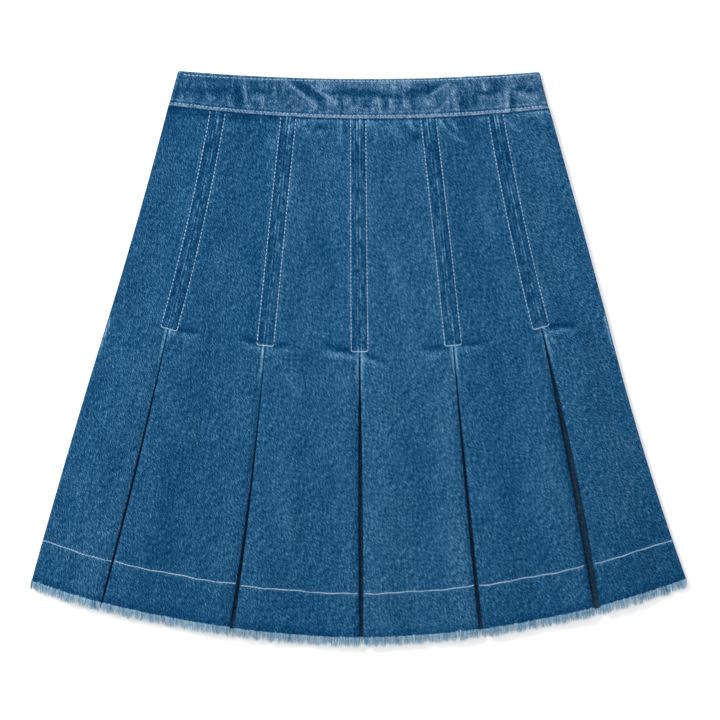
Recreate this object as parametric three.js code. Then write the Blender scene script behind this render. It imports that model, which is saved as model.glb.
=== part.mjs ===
// A denim skirt laid flat on its back: a doubled waistband, six flared gores at the front and six at the back,
// inverted pleats between them that are stitched down to hip height, and a raw hem frayed into a short fringe.
// Millimetres. +X is to the right as the front is seen from above, +Y runs to the waist, +Z is up off the surface.
// Distances "down" a gore are shares of its length, 0 at the waist seam and 1 at the raw hem.
import * as THREE from "three";

// The cloth and how it is stacked
const CLOTH = 1.2; // denim, one layer
const PARTING = 0.3; // between pieces that are sewn together or lie on each other
const LAYER = CLOTH + PARTING;
const FLOOR_LAYER = CLOTH / 2; // middle of the layer that lies on the surface
const UPPER_FRONT = 3; // layers under the front where the seams are stitched down
const PLEAT_LAYERS = 2; // more layers under the front where a pleat lies at the front and at the back

// The waist seam, the waistband's upper edge and the raw hem, as parabolas y = middle + tilt x + rise (x / half)^2.
// The skirt was laid a little askew: its waist is lower at the right.
const WAIST_SEAM = { middle: 216.7, tilt: -0.0085, rise: 11, half: 171.3 };
const BAND_TOP = { middle: 252.45, tilt: -0.003, rise: 7.1, half: 162.9 };
const HEM = { middle: -250.7, tilt: 0, rise: 48.7, half: 295 };
const BACK_HEM_LIFT = 1.2; // the back is cut a little shorter, so the front hides it

// Seams and pleats
const STITCHED_TO = 0.445; // share of the length at hip height, where the lines bend and the pleats are released
const SEAM_ALLOWANCE = 8;
const PLEAT_DEPTH = { released: 30, hem: 38 };
const EXTENSION_STEP = 0.022; // share of the length over which an allowance widens into a pleat
const RISE_LENGTH = 0.075; // share of the length over which the front climbs onto the pleats

// How the front sags between the seams, and how the waist gapes
const SAG = { most: 2.4, perWidth: 0.07, starts: 0.12 };
const GAPE = { middle: 2.6, full: 0.1, gone: 0.45 };

// The waistband
const BAND_THICK = 3.0;
const BAND_ROWS = [
  { share: 0, thick: 2.5 },
  { share: 0.06, thick: BAND_THICK },
  { share: 0.94, thick: BAND_THICK },
  { share: 1, thick: 1.8 },
];

// The frayed hem: locks of warp threads on a strip of the last weft threads
const FRAY = { strip: 1.2, long: 7.4, thick: 0.9, gap: 1.0, tip: 0.72, droop: 1.4, lift: 0.12, inset: 0.8 };

// The concealed zip at the centre back
const ZIP = { length: 150, tapeWide: 9, tapeThick: 1.0, below: 2.5, sliderLong: 11, sliderWide: 8, sliderThick: 1.2 };

// The lines that part the gores, from the left edge to the right. x at the waist seam, at the release and at the
// hem, how far the line bows to the right half way between them, the share of the length at which its own stitching
// ends, and how wide the pleat opens.
const LINES = [
  { kind: "side", waist: -171.5, upperBow: 1.0, release: -226.8, lowerBow: -1.5, hem: -295.0, released: 0.445, openHalfway: 0, openHem: 0 },
  { kind: "pleat", waist: -126.6, upperBow: 2.4, release: -172.1, lowerBow: 1.2, hem: -231.4, released: 0.4352, openHalfway: 2.2, openHem: 2.8 },
  { kind: "pleat", waist: -63.1, upperBow: -0.2, release: -84.2, lowerBow: 2.3, hem: -114.4, released: 0.4447, openHalfway: 2.1, openHem: 3.9 },
  { kind: "pleat", waist: -0.5, upperBow: -0.2, release: 0.75, lowerBow: 0.0, hem: 2.4, released: 0.4485, openHalfway: 3.5, openHem: 3.0 },
  { kind: "pleat", waist: 62.5, upperBow: 0.4, release: 85.1, lowerBow: -0.5, hem: 110.0, released: 0.4427, openHalfway: 2.2, openHem: 3.3 },
  { kind: "pleat", waist: 122.8, upperBow: -2.0, release: 166.1, lowerBow: 2.4, hem: 214.2, released: 0.4267, openHalfway: 5.4, openHem: 5.2 },
  { kind: "side", waist: 171.7, upperBow: 0.6, release: 225.0, lowerBow: -2.2, hem: 295.2, released: 0.445, openHalfway: 0, openHem: 0 },
];

// How much each gore's hem is lifted at its left and right corner, and its locks of fringe
const GORES = [
  { liftLeft: 2.0, liftRight: 0.9, locks: 13 },
  { liftLeft: 1.4, liftRight: 1.4, locks: 25 },
  { liftLeft: 1.0, liftRight: -0.5, locks: 25 },
  { liftLeft: -0.4, liftRight: 0.6, locks: 22 },
  { liftLeft: 0.4, liftRight: 1.6, locks: 22 },
  { liftLeft: 1.6, liftRight: 3.6, locks: 17 },
];

const FRONT = { name: "front", up: 1 };
const BACK = { name: "back", up: -1 };

// Small helpers
const clamp01 = (t) => Math.min(1, Math.max(0, t));
const mix = (a, b, t) => a + (b - a) * t;
const smooth = (from, to, t) => {
  const s = clamp01((t - from) / (to - from));
  return s * s * (3 - 2 * s);
};
const parabola = (curve, x) => curve.middle + curve.tilt * x + curve.rise * (x / curve.half) ** 2;
const steps = (from, to, count) => Array.from({ length: count + 1 }, (_, i) => mix(from, to, i / count));

// x of a line at a share of the length: straight from mark to mark, with a parabolic bow in each stretch
function lineX(line, down) {
  const upper = down < STITCHED_TO;
  const t = upper ? down / STITCHED_TO : (down - STITCHED_TO) / (1 - STITCHED_TO);
  const [from, to, bow] = upper
    ? [line.waist, line.release, line.upperBow]
    : [line.release, line.hem, line.lowerBow];
  return mix(from, to, t) + 4 * bow * t * (1 - t);
}

// The share of the length at which a row of stations crosses a line. Rows are drawn for the common release, and each
// slants a little so that every line's own release falls on the same row.
const shareOnLine = (line, row) =>
  row < STITCHED_TO
    ? (row / STITCHED_TO) * line.released
    : mix(line.released, 1, (row - STITCHED_TO) / (1 - STITCHED_TO));

// How wide the pleat stands open: closed to the release, then a parabola through its two widths
function opening(line, down) {
  if (line.kind === "side" || down <= line.released) return PARTING;
  const t = (down - line.released) / (1 - line.released);
  const halfway = line.openHalfway;
  const hem = line.openHem;
  return PARTING + (4 * halfway - hem) * t + (2 * hem - 4 * halfway) * t * t;
}

// How far the cloth is folded under at a line: a seam allowance, or a pleat extension below the release
function foldedUnder(line, down) {
  if (line.kind === "side") return SEAM_ALLOWANCE;
  const t = clamp01((down - line.released) / (1 - line.released));
  const pleat = mix(PLEAT_DEPTH.released, PLEAT_DEPTH.hem, t);
  const widening = smooth(line.released - EXTENSION_STEP / 2, line.released + EXTENSION_STEP / 2, down);
  return mix(SEAM_ALLOWANCE, pleat, widening);
}

// y of the cloth at x, a share of the way down, with the hem lifted by lift
const clothY = (x, down, lift) => mix(parabola(WAIST_SEAM, x), parabola(HEM, x) + lift, down);

// How far the waist gapes: most at the middle, none at the sides, fading below the seam
function gape(x, down) {
  const across = Math.max(0, 1 - (x / WAIST_SEAM.half) ** 2);
  return GAPE.middle * across * (1 - smooth(GAPE.full, GAPE.gone, down));
}

// Height of the middle of the front's outer layer along a line
function frontHeightAtLine(line, down) {
  const climb = line.kind === "side" ? 0 : smooth(line.released - RISE_LENGTH, line.released - 0.005, down);
  return FLOOR_LAYER + LAYER * (UPPER_FRONT + PLEAT_LAYERS * climb) + gape(lineX(line, down), down);
}

// One gore at a share of its length: where its folds are, how far they turn under, and its height across
function goreSection(side, index, down) {
  const [left, right] = [LINES[index], LINES[index + 1]];
  const xLeft = lineX(left, down) + opening(left, down) / 2;
  const xRight = lineX(right, down) - opening(right, down) / 2;
  const underLeft = foldedUnder(left, down);
  const underRight = foldedUnder(right, down);
  const levelTo = xLeft + underLeft + 1;
  const levelFrom = xRight - underRight - 1;
  const [hLeft, hRight] = [frontHeightAtLine(left, down), frontHeightAtLine(right, down)];
  const sag = Math.min(SAG.most, SAG.perWidth * (levelFrom - levelTo)) * smooth(0, SAG.starts, down);
  const height = (x) => {
    if (side === BACK) return FLOOR_LAYER;
    const q = clamp01((x - levelTo) / (levelFrom - levelTo));
    return mix(hLeft, hRight, smooth(0, 1, q)) - sag * Math.sin(Math.PI * q) ** 2;
  };
  return { xLeft, xRight, underLeft, underRight, levelTo, levelFrom, height };
}

const goreLift = (side, index, x) => {
  const gore = GORES[index];
  const t = clamp01((x - LINES[index].hem) / (LINES[index + 1].hem - LINES[index].hem));
  return mix(gore.liftLeft, gore.liftRight, t) + (side === BACK ? BACK_HEM_LIFT : 0);
};

// A cloth wall: rows of stations, each a middle point, the direction of the cloth's face there and its thickness.
// Each station gives a point on both faces; the faces are joined round the rim, so the wall is one closed body.
function wall(rows) {
  const across = rows[0].length;
  const position = [];
  for (const half of [0.5, -0.5])
    for (const row of rows)
      for (const s of row)
        position.push(s.x + s.nx * s.thick * half, s.y, s.z + s.nz * s.thick * half);
  const at = (face, j, i) => (face * rows.length + j) * across + i;
  const index = [];
  const quad = (a, b, c, d) => index.push(a, b, c, a, c, d);
  for (let j = 0; j + 1 < rows.length; j++) {
    for (let i = 0; i + 1 < across; i++) {
      quad(at(0, j, i), at(0, j, i + 1), at(0, j + 1, i + 1), at(0, j + 1, i));
      quad(at(1, j, i), at(1, j + 1, i), at(1, j + 1, i + 1), at(1, j, i + 1));
    }
    quad(at(0, j, 0), at(0, j + 1, 0), at(1, j + 1, 0), at(1, j, 0));
    quad(at(0, j, across - 1), at(1, j, across - 1), at(1, j + 1, across - 1), at(0, j + 1, across - 1));
  }
  const last = rows.length - 1;
  for (let i = 0; i + 1 < across; i++) {
    quad(at(0, 0, i), at(1, 0, i), at(1, 0, i + 1), at(0, 0, i + 1));
    quad(at(0, last, i), at(0, last, i + 1), at(1, last, i + 1), at(1, last, i));
  }
  return closedGeometry(position, index);
}

// A flat piece: an outline in plan, with the heights of its upper and lower face given by functions
function slab(outline, upper, lower) {
  const ring = THREE.ShapeUtils.isClockWise(outline) ? [...outline].reverse() : outline;
  const position = [];
  for (const height of [upper, lower]) for (const p of ring) position.push(p.x, p.y, height(p));
  const count = ring.length;
  const index = [];
  for (const [a, b, c] of THREE.ShapeUtils.triangulateShape(ring, [])) {
    index.push(a, b, c);
    index.push(a + count, c + count, b + count);
  }
  for (let i = 0; i < count; i++) {
    const next = (i + 1) % count;
    index.push(i, i + count, next + count, i, next + count, next);
  }
  return closedGeometry(position, index);
}

// Puts the triangles of a closed body in a geometry with its faces pointing out
function closedGeometry(position, index) {
  const corner = (i) => new THREE.Vector3().fromArray(position, 3 * i);
  let volume = 0;
  for (let t = 0; t < index.length; t += 3)
    volume += corner(index[t]).dot(corner(index[t + 1]).cross(corner(index[t + 2])));
  if (volume < 0) index.reverse();
  const geometry = new THREE.BufferGeometry();
  geometry.setAttribute("position", new THREE.Float32BufferAttribute(position, 3));
  geometry.setIndex(index);
  geometry.computeVertexNormals();
  return geometry;
}

// The rolled edge of a fold, as stations round a half circle from the layer turned under to the outer layer
function foldStations(x, inward, outerHeight, up) {
  const radius = LAYER / 2;
  const centreX = x + inward * (radius + CLOTH / 2);
  const centreZ = outerHeight - up * radius;
  return steps(-90, 90, 4).map((degrees) => {
    const angle = THREE.MathUtils.degToRad(degrees);
    const nx = -inward * Math.cos(angle);
    const nz = up * Math.sin(angle);
    return { x: centreX + radius * nx, z: centreZ + radius * nz, nx, nz, thick: CLOTH };
  });
}

// A gore: across, the edge turned under at the left, the fold, the outer layer with its sag, and the same at the
// right; down, from the waist seam to the raw hem.
const GORE_ROWS = {
  front: [0, 0.14, 0.28, STITCHED_TO - RISE_LENGTH, 0.408, 0.434, 0.456, 0.6, 0.8, 1],
  back: [0, 0.2, 0.434, 0.456, 0.6, 0.8, 1],
};
function goreGeometry(side, index) {
  const rows = GORE_ROWS[side.name].map((row) => {
    const downLeft = shareOnLine(LINES[index], row);
    const downRight = shareOnLine(LINES[index + 1], row);
    const left = goreSection(side, index, downLeft);
    const right = goreSection(side, index, downRight);
    const share = (x) => clamp01((x - left.levelTo) / (right.levelFrom - left.levelTo));
    const down = (x) => mix(downLeft, downRight, share(x));
    const height = (x) => goreSection(side, index, down(x)).height(x);
    const turned = (x, edge) => ({
      x,
      z: height(edge) - side.up * LAYER,
      nx: 0,
      nz: -side.up,
      thick: CLOTH,
    });
    const outer = steps(left.levelTo, right.levelFrom, side === FRONT ? 4 : 1).map((x) => ({
      x,
      z: height(x),
      nx: 0,
      nz: side.up,
      thick: CLOTH,
    }));
    const stations = [
      turned(left.xLeft + left.underLeft, left.xLeft),
      ...foldStations(left.xLeft, 1, height(left.xLeft), side.up),
      ...outer,
      ...foldStations(right.xRight, -1, height(right.xRight), side.up).reverse(),
      turned(right.xRight - right.underRight, right.xRight),
    ];
    return stations.map((s) => ({ ...s, y: clothY(s.x, down(s.x), goreLift(side, index, s.x)) }));
  });
  return wall(rows);
}

// The strip behind a pleat, one layer below the extensions that it is sewn to
function underlayGeometry(side, lineIndex) {
  const line = LINES[lineIndex];
  const rows = [STITCHED_TO + EXTENSION_STEP / 2, 0.6, 0.8, 1].map((row) => {
    const down = shareOnLine(line, row);
    const half = opening(line, down) / 2 + foldedUnder(line, down);
    const middle = lineX(line, down);
    const z = side === FRONT ? frontHeightAtLine(line, down) - 2 * LAYER : FLOOR_LAYER + 2 * LAYER;
    return steps(middle - half, middle + half, 2).map((x) => ({
      x,
      y: clothY(x, down, BACK_HEM_LIFT),
      z,
      nx: 0,
      nz: side.up,
      thick: CLOTH,
    }));
  });
  return wall(rows);
}

// The frayed hem of a gore: a comb of tapered locks, uneven in length, rooted in a narrow strip
function fringeGeometry(side, index) {
  const { xLeft, xRight, height } = goreSection(side, index, 1);
  const { locks } = GORES[index];
  const [from, to] = [xLeft + FRAY.inset, xRight - FRAY.inset];
  const pitch = (to - from) / locks;
  const edgeY = (x) => clothY(x, 1, goreLift(side, index, x)) - PARTING;
  const outline = steps(from, to, Math.ceil(locks / 4)).map((x) => new THREE.Vector2(x, edgeY(x)));
  for (let lock = locks - 1; lock >= 0; lock--) {
    const middle = from + (lock + 0.5) * pitch;
    const half = (pitch - FRAY.gap) / 2;
    const wave = Math.sin(lock * 2.4 + index) + 0.6 * Math.sin(lock * 5.1 + 2 * index);
    const root = (x) => edgeY(x) - FRAY.strip;
    const tipY = edgeY(middle) - FRAY.strip - FRAY.long * (1 + 0.09 * wave) + 1;
    const lean = 0.5 * Math.sin(lock * 1.7 + 3 * index);
    const right = lock === locks - 1 ? to : middle + half;
    const left = lock === 0 ? from : middle - half;
    outline.push(new THREE.Vector2(right, root(right)));
    outline.push(new THREE.Vector2(middle + half * FRAY.tip + lean, tipY));
    outline.push(new THREE.Vector2(middle - half * FRAY.tip + lean, tipY + 0.25 * wave));
    outline.push(new THREE.Vector2(left, root(left)));
  }
  const hang = (p) => (FRAY.droop * clamp01((edgeY(p.x) - p.y - FRAY.strip) / FRAY.long)) ** 2;
  const middleZ = (p) => (side === FRONT ? height(p.x) - hang(p) : FRAY.lift + FRAY.thick / 2);
  return slab(
    outline,
    (p) => middleZ(p) + FRAY.thick / 2,
    (p) => middleZ(p) - FRAY.thick / 2,
  );
}

// The waistband: one doubled band from the opening at the centre back, round the left side, across the front,
// round the right side and back to the opening. The sides are half circles that join the two heights.
function waistbandGeometry() {
  const backZ = BAND_THICK / 2;
  const frontZ = backZ + BAND_THICK + PARTING;
  const rows = BAND_ROWS.map(({ share, thick }) => {
    const half = mix(WAIST_SEAM.half, BAND_TOP.half, share);
    const station = (x, z, nx, nz) => ({
      x,
      y: mix(parabola(WAIST_SEAM, x) + PARTING, parabola(BAND_TOP, x), share),
      z,
      nx,
      nz,
      thick,
    });
    const radius = (frontZ - backZ) / 2;
    const foldX = half - radius - BAND_THICK / 2;
    const turn = (sign, from, to) =>
      steps(from, to, 4)
        .slice(1, -1)
        .map((degrees) => {
          const angle = THREE.MathUtils.degToRad(degrees);
          const [nx, nz] = [sign * Math.cos(angle), Math.sin(angle)];
          return station(sign * foldX + radius * nx, backZ + radius + radius * nz, nx, nz);
        });
    return [
      ...steps(-PARTING, -foldX, 4).map((x) => station(x, backZ, 0, -1)),
      ...turn(-1, -90, 90),
      ...steps(-foldX, foldX, 12).map((x) => station(x, frontZ + GAPE.middle * (1 - (x / foldX) ** 2), 0, 1)),
      ...turn(1, 90, -90),
      ...steps(foldX, PARTING, 4).map((x) => station(x, backZ, 0, -1)),
    ];
  });
  return wall(rows);
}

// One tape of the zip, a flat strip on the inside of the centre back seam; sign is -1 for left and 1 for right
function zipTapeGeometry(sign) {
  const top = parabola(BAND_TOP, 0) - ZIP.below;
  const z = BAND_THICK + PARTING;
  const [near, far] = [PARTING / 2, PARTING / 2 + ZIP.tapeWide];
  const outline = [
    [near, top],
    [far, top],
    [far, top - ZIP.length],
    [near, top - ZIP.length],
  ].map(([x, y]) => new THREE.Vector2(sign * x, y));
  return slab(
    outline,
    () => z + ZIP.tapeThick,
    () => z,
  );
}

// The slider, closed at the top of the tapes, a rounded block
function zipSliderGeometry() {
  const top = parabola(BAND_TOP, 0) - ZIP.below - 1.5;
  const z = BAND_THICK + 2 * PARTING + ZIP.tapeThick;
  const half = ZIP.sliderWide / 2;
  const corner = 1.8;
  const outline = [
    [half - corner, top],
    [-half + corner, top],
    [-half, top - corner],
    [-half * 0.7, top - ZIP.sliderLong],
    [half * 0.7, top - ZIP.sliderLong],
    [half, top - corner],
  ].map(([x, y]) => new THREE.Vector2(x, y));
  return slab(
    outline,
    () => z + ZIP.sliderThick,
    () => z,
  );
}

const MATERIALS = {
  denim: new THREE.MeshStandardMaterial({ color: 0x24557d, roughness: 0.9, metalness: 0 }),
  inner: new THREE.MeshStandardMaterial({ color: 0x16324c, roughness: 0.92, metalness: 0 }),
  band: new THREE.MeshStandardMaterial({ color: 0x336186, roughness: 0.88, metalness: 0 }),
  fray: new THREE.MeshStandardMaterial({ color: 0xa3bccd, roughness: 0.95, metalness: 0 }),
  tape: new THREE.MeshStandardMaterial({ color: 0x1b3450, roughness: 0.8, metalness: 0 }),
  slider: new THREE.MeshStandardMaterial({ color: 0x8a8f94, roughness: 0.35, metalness: 1 }),
};

const skirt = new THREE.Group();
function add(name, geometry, material) {
  const mesh = new THREE.Mesh(geometry, material);
  mesh.name = name;
  skirt.add(mesh);
}

add("waistband", waistbandGeometry(), MATERIALS.band);
for (const side of [FRONT, BACK]) {
  GORES.forEach((_, i) => {
    add(`${side.name}_gore_${i + 1}`, goreGeometry(side, i), MATERIALS.denim);
    add(`${side.name}_fringe_${i + 1}`, fringeGeometry(side, i), MATERIALS.fray);
  });
  LINES.forEach((line, i) => {
    if (line.kind === "pleat") add(`${side.name}_underlay_${i}`, underlayGeometry(side, i), MATERIALS.inner);
  });
}
add("zip_tape_left", zipTapeGeometry(-1), MATERIALS.tape);
add("zip_tape_right", zipTapeGeometry(1), MATERIALS.tape);
add("zip_slider", zipSliderGeometry(), MATERIALS.slider);

export default skirt;
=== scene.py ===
# %% [markdown]
# # A denim skirt laid flat, dressed in Blender
#
# The skirt is a stonewashed blue A-line: a doubled waistband, six gores at the front and six at the back,
# and inverted pleats between them that are stitched down to the hip and open below it. Its hem is raw and
# frayed. The packed model already holds every piece at its real size and place. This lesson swaps each
# plain solid for a thin cloth shell on the same form, sews it with real stitches and gives it the wash
# and the fray.

import bpy
import numpy as np
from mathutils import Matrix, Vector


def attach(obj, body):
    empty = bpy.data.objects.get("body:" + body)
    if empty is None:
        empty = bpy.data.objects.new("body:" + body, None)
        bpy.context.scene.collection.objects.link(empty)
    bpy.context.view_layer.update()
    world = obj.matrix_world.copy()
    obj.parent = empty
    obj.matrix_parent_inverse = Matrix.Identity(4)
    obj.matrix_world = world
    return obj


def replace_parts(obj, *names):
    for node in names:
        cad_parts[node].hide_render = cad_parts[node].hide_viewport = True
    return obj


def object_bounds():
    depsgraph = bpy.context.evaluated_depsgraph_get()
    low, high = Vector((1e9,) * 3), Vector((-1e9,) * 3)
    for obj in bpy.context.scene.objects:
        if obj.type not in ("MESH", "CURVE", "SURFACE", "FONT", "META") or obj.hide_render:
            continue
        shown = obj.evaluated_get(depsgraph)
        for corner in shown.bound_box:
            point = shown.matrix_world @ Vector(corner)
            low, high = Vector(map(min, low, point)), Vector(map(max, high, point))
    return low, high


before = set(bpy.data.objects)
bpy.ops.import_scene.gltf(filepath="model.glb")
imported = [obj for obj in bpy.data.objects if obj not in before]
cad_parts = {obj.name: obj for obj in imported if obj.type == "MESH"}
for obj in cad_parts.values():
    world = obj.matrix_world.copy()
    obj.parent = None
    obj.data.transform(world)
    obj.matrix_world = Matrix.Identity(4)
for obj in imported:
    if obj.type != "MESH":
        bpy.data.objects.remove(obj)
cad_box = [list(corner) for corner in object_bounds()]
skirt_size = [round((high - low) * 1000, 1) for low, high in zip(*cad_box)]
print("packed nodes:", len(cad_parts), "overall size in mm:", skirt_size)

# %% [markdown]
# ## The cut
#
# A pattern cutter thinks in millimetres, so every size below is in millimetres and `MM` turns it into
# Blender's metres when a mesh is made. The solids were made from the same cut: three curves for the waist
# seam, the band's top and the raw hem, and one row for each line that parts two gores. Only the slits of
# the first two pleats are a little narrower here than between the solids. A table with named columns is
# easier to read and to change than a list of points, and each curve stays a short formula.

# %% The curves and the lines between the gores
MM = 0.001
LAYER = 1.5                     # pitch of the stacked layers of denim
SOLID_CLOTH = 1.2               # a layer of cloth in the solids
CLOTH = 0.95                    # a layer here, so that stitches can stand on it inside the solid's room
PARTING = 0.3                   # between sewn pieces
CLOSED = 0.0                    # between the two folded edges of a seam, pulled shut by its stitches
STITCHED_TO = 0.445             # share of a gore's length at hip height, where the lines bend
SEAM_ALLOWANCE = 8.0
PLEAT_DEPTH = (30.0, 38.0)      # at the release and at the hem
EXTENSION_STEP = 0.022
RISE_LENGTH = 0.075
BACK_HEM_LIFT = 1.2
WAIST_SEAM = dict(middle=216.7, tilt=-0.0085, rise=11.0, half=171.3)
BAND_TOP = dict(middle=252.45, tilt=-0.003, rise=7.1, half=162.9)
RAW_HEM = dict(middle=-250.7, tilt=0.0, rise=48.7, half=295.0)
GAPE = dict(middle=2.6, full=0.1, gone=0.45)
SAG = dict(most=1.7, per_width=0.05, starts=0.12)

LINE_COLUMNS = ("kind", "waist", "upper_bow", "release", "lower_bow", "hem",      # x and bows, in mm
                "released", "open_halfway", "open_hem")                           # a share, and widths in mm
LINES = [dict(zip(LINE_COLUMNS, row)) for row in [
    ("side", -171.5, 1.0, -226.8, -1.5, -295.0, 0.445, 0.0, 0.0),
    ("pleat", -126.6, 2.4, -172.1, 1.2, -231.4, 0.4352, 1.5, 1.2),
    ("pleat", -63.1, -0.2, -84.2, 2.3, -114.4, 0.4447, 1.3, 3.7),
    ("pleat", -0.5, -0.2, 0.75, 0.0, 2.4, 0.4485, 3.5, 3.0),
    ("pleat", 62.5, 0.4, 85.1, -0.5, 110.0, 0.4427, 2.2, 3.3),
    ("pleat", 122.8, -2.0, 166.1, 2.4, 214.2, 0.4267, 5.4, 5.2),
    ("side", 171.7, 0.6, 225.0, -2.2, 295.2, 0.445, 0.0, 0.0),
]]
HEM_LIFTS = [(2.0, 0.9), (1.4, 1.4), (1.0, -0.5), (-0.4, 0.6), (0.4, 1.6), (1.6, 3.6)]
GORES = range(len(HEM_LIFTS))
PLEATS = [i for i, line in enumerate(LINES) if line["kind"] == "pleat"]
SIDES = {"front": 1, "back": -1}                                 # which way the outer face looks
print("gores on a side:", len(GORES), "of which pleats part", len(PLEATS), "pairs")

# %% [markdown]
# ### Where a point of the cut lies
#
# Every place on a gore is given by two numbers: x in mm across the skirt, and `down`, the share of the
# way from the waist seam, 0, to the raw hem, 1. The helpers below turn them into places. They take whole
# arrays, so a grid of thousands of points is worked out in one go.

# %% Lines, openings and curves as functions
def mix(a, b, share):
    """a where share is 0, b where it is 1, straight in between."""
    return a + (b - a) * share


def smooth(low, high, value):
    """0 below low, 1 above high, and an S curve 3s^2 - 2s^3 in between."""
    s = np.clip((value - low) / (high - low), 0, 1)
    return s * s * (3 - 2 * s)


def parabola(curve, x):
    """y = middle + tilt x + rise (x / half)^2."""
    return curve["middle"] + curve["tilt"] * x + curve["rise"] * (x / curve["half"]) ** 2


def below(start, down):
    """Share of the way from start to the hem, 0 above start."""
    return np.clip((down - start) / (1 - start), 0, 1)


def line_x(line, down):
    """Straight from mark to mark, plus a bow 4 b t (1 - t) in the stretch above and in the one below."""
    above = np.clip(down / STITCHED_TO, 0, 1)
    after = below(STITCHED_TO, down)
    upper = mix(line["waist"], line["release"], above) + 4 * line["upper_bow"] * above * (1 - above)
    return upper + (line["hem"] - line["release"]) * after + 4 * line["lower_bow"] * after * (1 - after)


def opening(line, down):
    """Closed where the seam is sewn, then a parabola through the widths half way down and at the hem."""
    if line["kind"] == "side":
        return np.full_like(down, PARTING)
    t = below(line["released"], down)
    halfway, hem = line["open_halfway"], line["open_hem"]
    return CLOSED + (4 * halfway - hem) * t + (2 * hem - 4 * halfway) * t * t


def turned_under(line, down):
    """The seam allowance, widening into the pleat just below the release."""
    if line["kind"] == "side":
        return np.full_like(down, SEAM_ALLOWANCE)
    released = line["released"]
    widening = smooth(released - EXTENSION_STEP / 2, released + EXTENSION_STEP / 2, down)
    return mix(SEAM_ALLOWANCE, mix(*PLEAT_DEPTH, below(released, down)), widening)


def share_on_line(line, row):
    """Rows are drawn for hip height and slant a little, so each line's release falls on the same row."""
    upper = row / STITCHED_TO * line["released"]
    return np.where(row < STITCHED_TO, upper, mix(line["released"], 1.0, below(STITCHED_TO, row)))


def hem_lift(side, gore, x):
    """How much higher than the common curve the raw hem of this gore is, straight from corner to corner."""
    left, right = LINES[gore]["hem"], LINES[gore + 1]["hem"]
    lift = mix(*HEM_LIFTS[gore], np.clip((x - left) / (right - left), 0, 1))
    return lift + (BACK_HEM_LIFT if side == "back" else 0)


def cloth_y(x, down, lift):
    """Between the waist seam's curve and the raw hem's curve, in the share down."""
    return mix(parabola(WAIST_SEAM, x), parabola(RAW_HEM, x) + lift, down)


def gape(x, down):
    """The waist stands open most at its middle, not at all at its sides, and not below the hip."""
    across = np.clip(1 - (x / WAIST_SEAM["half"]) ** 2, 0, 1)
    return GAPE["middle"] * across * (1 - smooth(GAPE["full"], GAPE["gone"], down))


for number in PLEATS:
    marks_down = (0.0, LINES[number]["released"], 1.0)
    marks_x = [round(float(line_x(LINES[number], np.array(down))), 1) for down in marks_down]
    print("pleat", number, "x at waist, release and hem:", marks_x)

# %% [markdown]
# ## How high the front lies
#
# Nothing floats in a skirt that is laid flat: the front rests on whatever is turned under it. Where the
# seams are sewn that is three layers, and below the release it is five, so the cloth climbs as it comes
# down to the hip. One height function serves the shells, the stitches and the fringe, so that they can't
# part.

# %% Heights of the outer layers
BACK_HEIGHT = SOLID_CLOTH - CLOTH / 2    # the back's outer layer, just above the surface it lies on


def front_height_at(line, down):
    """Three layers up at a sewn seam, five on a released pleat, plus what the waist gapes."""
    released = line["released"]
    climb = 0 if line["kind"] == "side" else smooth(released - RISE_LENGTH, released - 0.005, down)
    return SOLID_CLOTH / 2 + LAYER * (3 + 2 * climb) + gape(line_x(line, down), down)


def gore_edges(gore, down):
    """x of a gore's two folded edges, and how far the cloth is turned under at each."""
    left, right = LINES[gore], LINES[gore + 1]
    x_left = line_x(left, down) + opening(left, down) / 2
    x_right = line_x(right, down) - opening(right, down) / 2
    return x_left, x_right, turned_under(left, down), turned_under(right, down)


def outer_height(side, gore, x, down):
    """Level over what is turned under, an S from edge to edge between, less a sag s sin^2(pi q)."""
    if side == "back":
        return np.full(np.broadcast(x, down).shape, BACK_HEIGHT)
    x_left, x_right, under_left, under_right = gore_edges(gore, down)
    level_to, level_from = x_left + under_left + 1, x_right - under_right - 1
    q = np.clip((x - level_to) / (level_from - level_to), 0, 1)
    heights = front_height_at(LINES[gore], down), front_height_at(LINES[gore + 1], down)
    sag = np.minimum(SAG["most"], SAG["per_width"] * (level_from - level_to)) * smooth(0, SAG["starts"], down)
    return mix(*heights, smooth(0, 1, q)) - sag * np.sin(np.pi * q) ** 2


def share_down(side, gore, x, y):
    """The share of the length at which a point lies, from its place between the two curves."""
    top = parabola(WAIST_SEAM, x)
    return (top - y) / (top - parabola(RAW_HEM, x) - hem_lift(side, gore, x))


for gore in GORES:
    left, right, *_ = gore_edges(gore, np.array(0.7))
    heights = outer_height("front", gore, np.linspace(left, right, 5), np.array(0.7))
    print("front gore", gore + 1, "heights across in mm:", heights.round(1))
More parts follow.
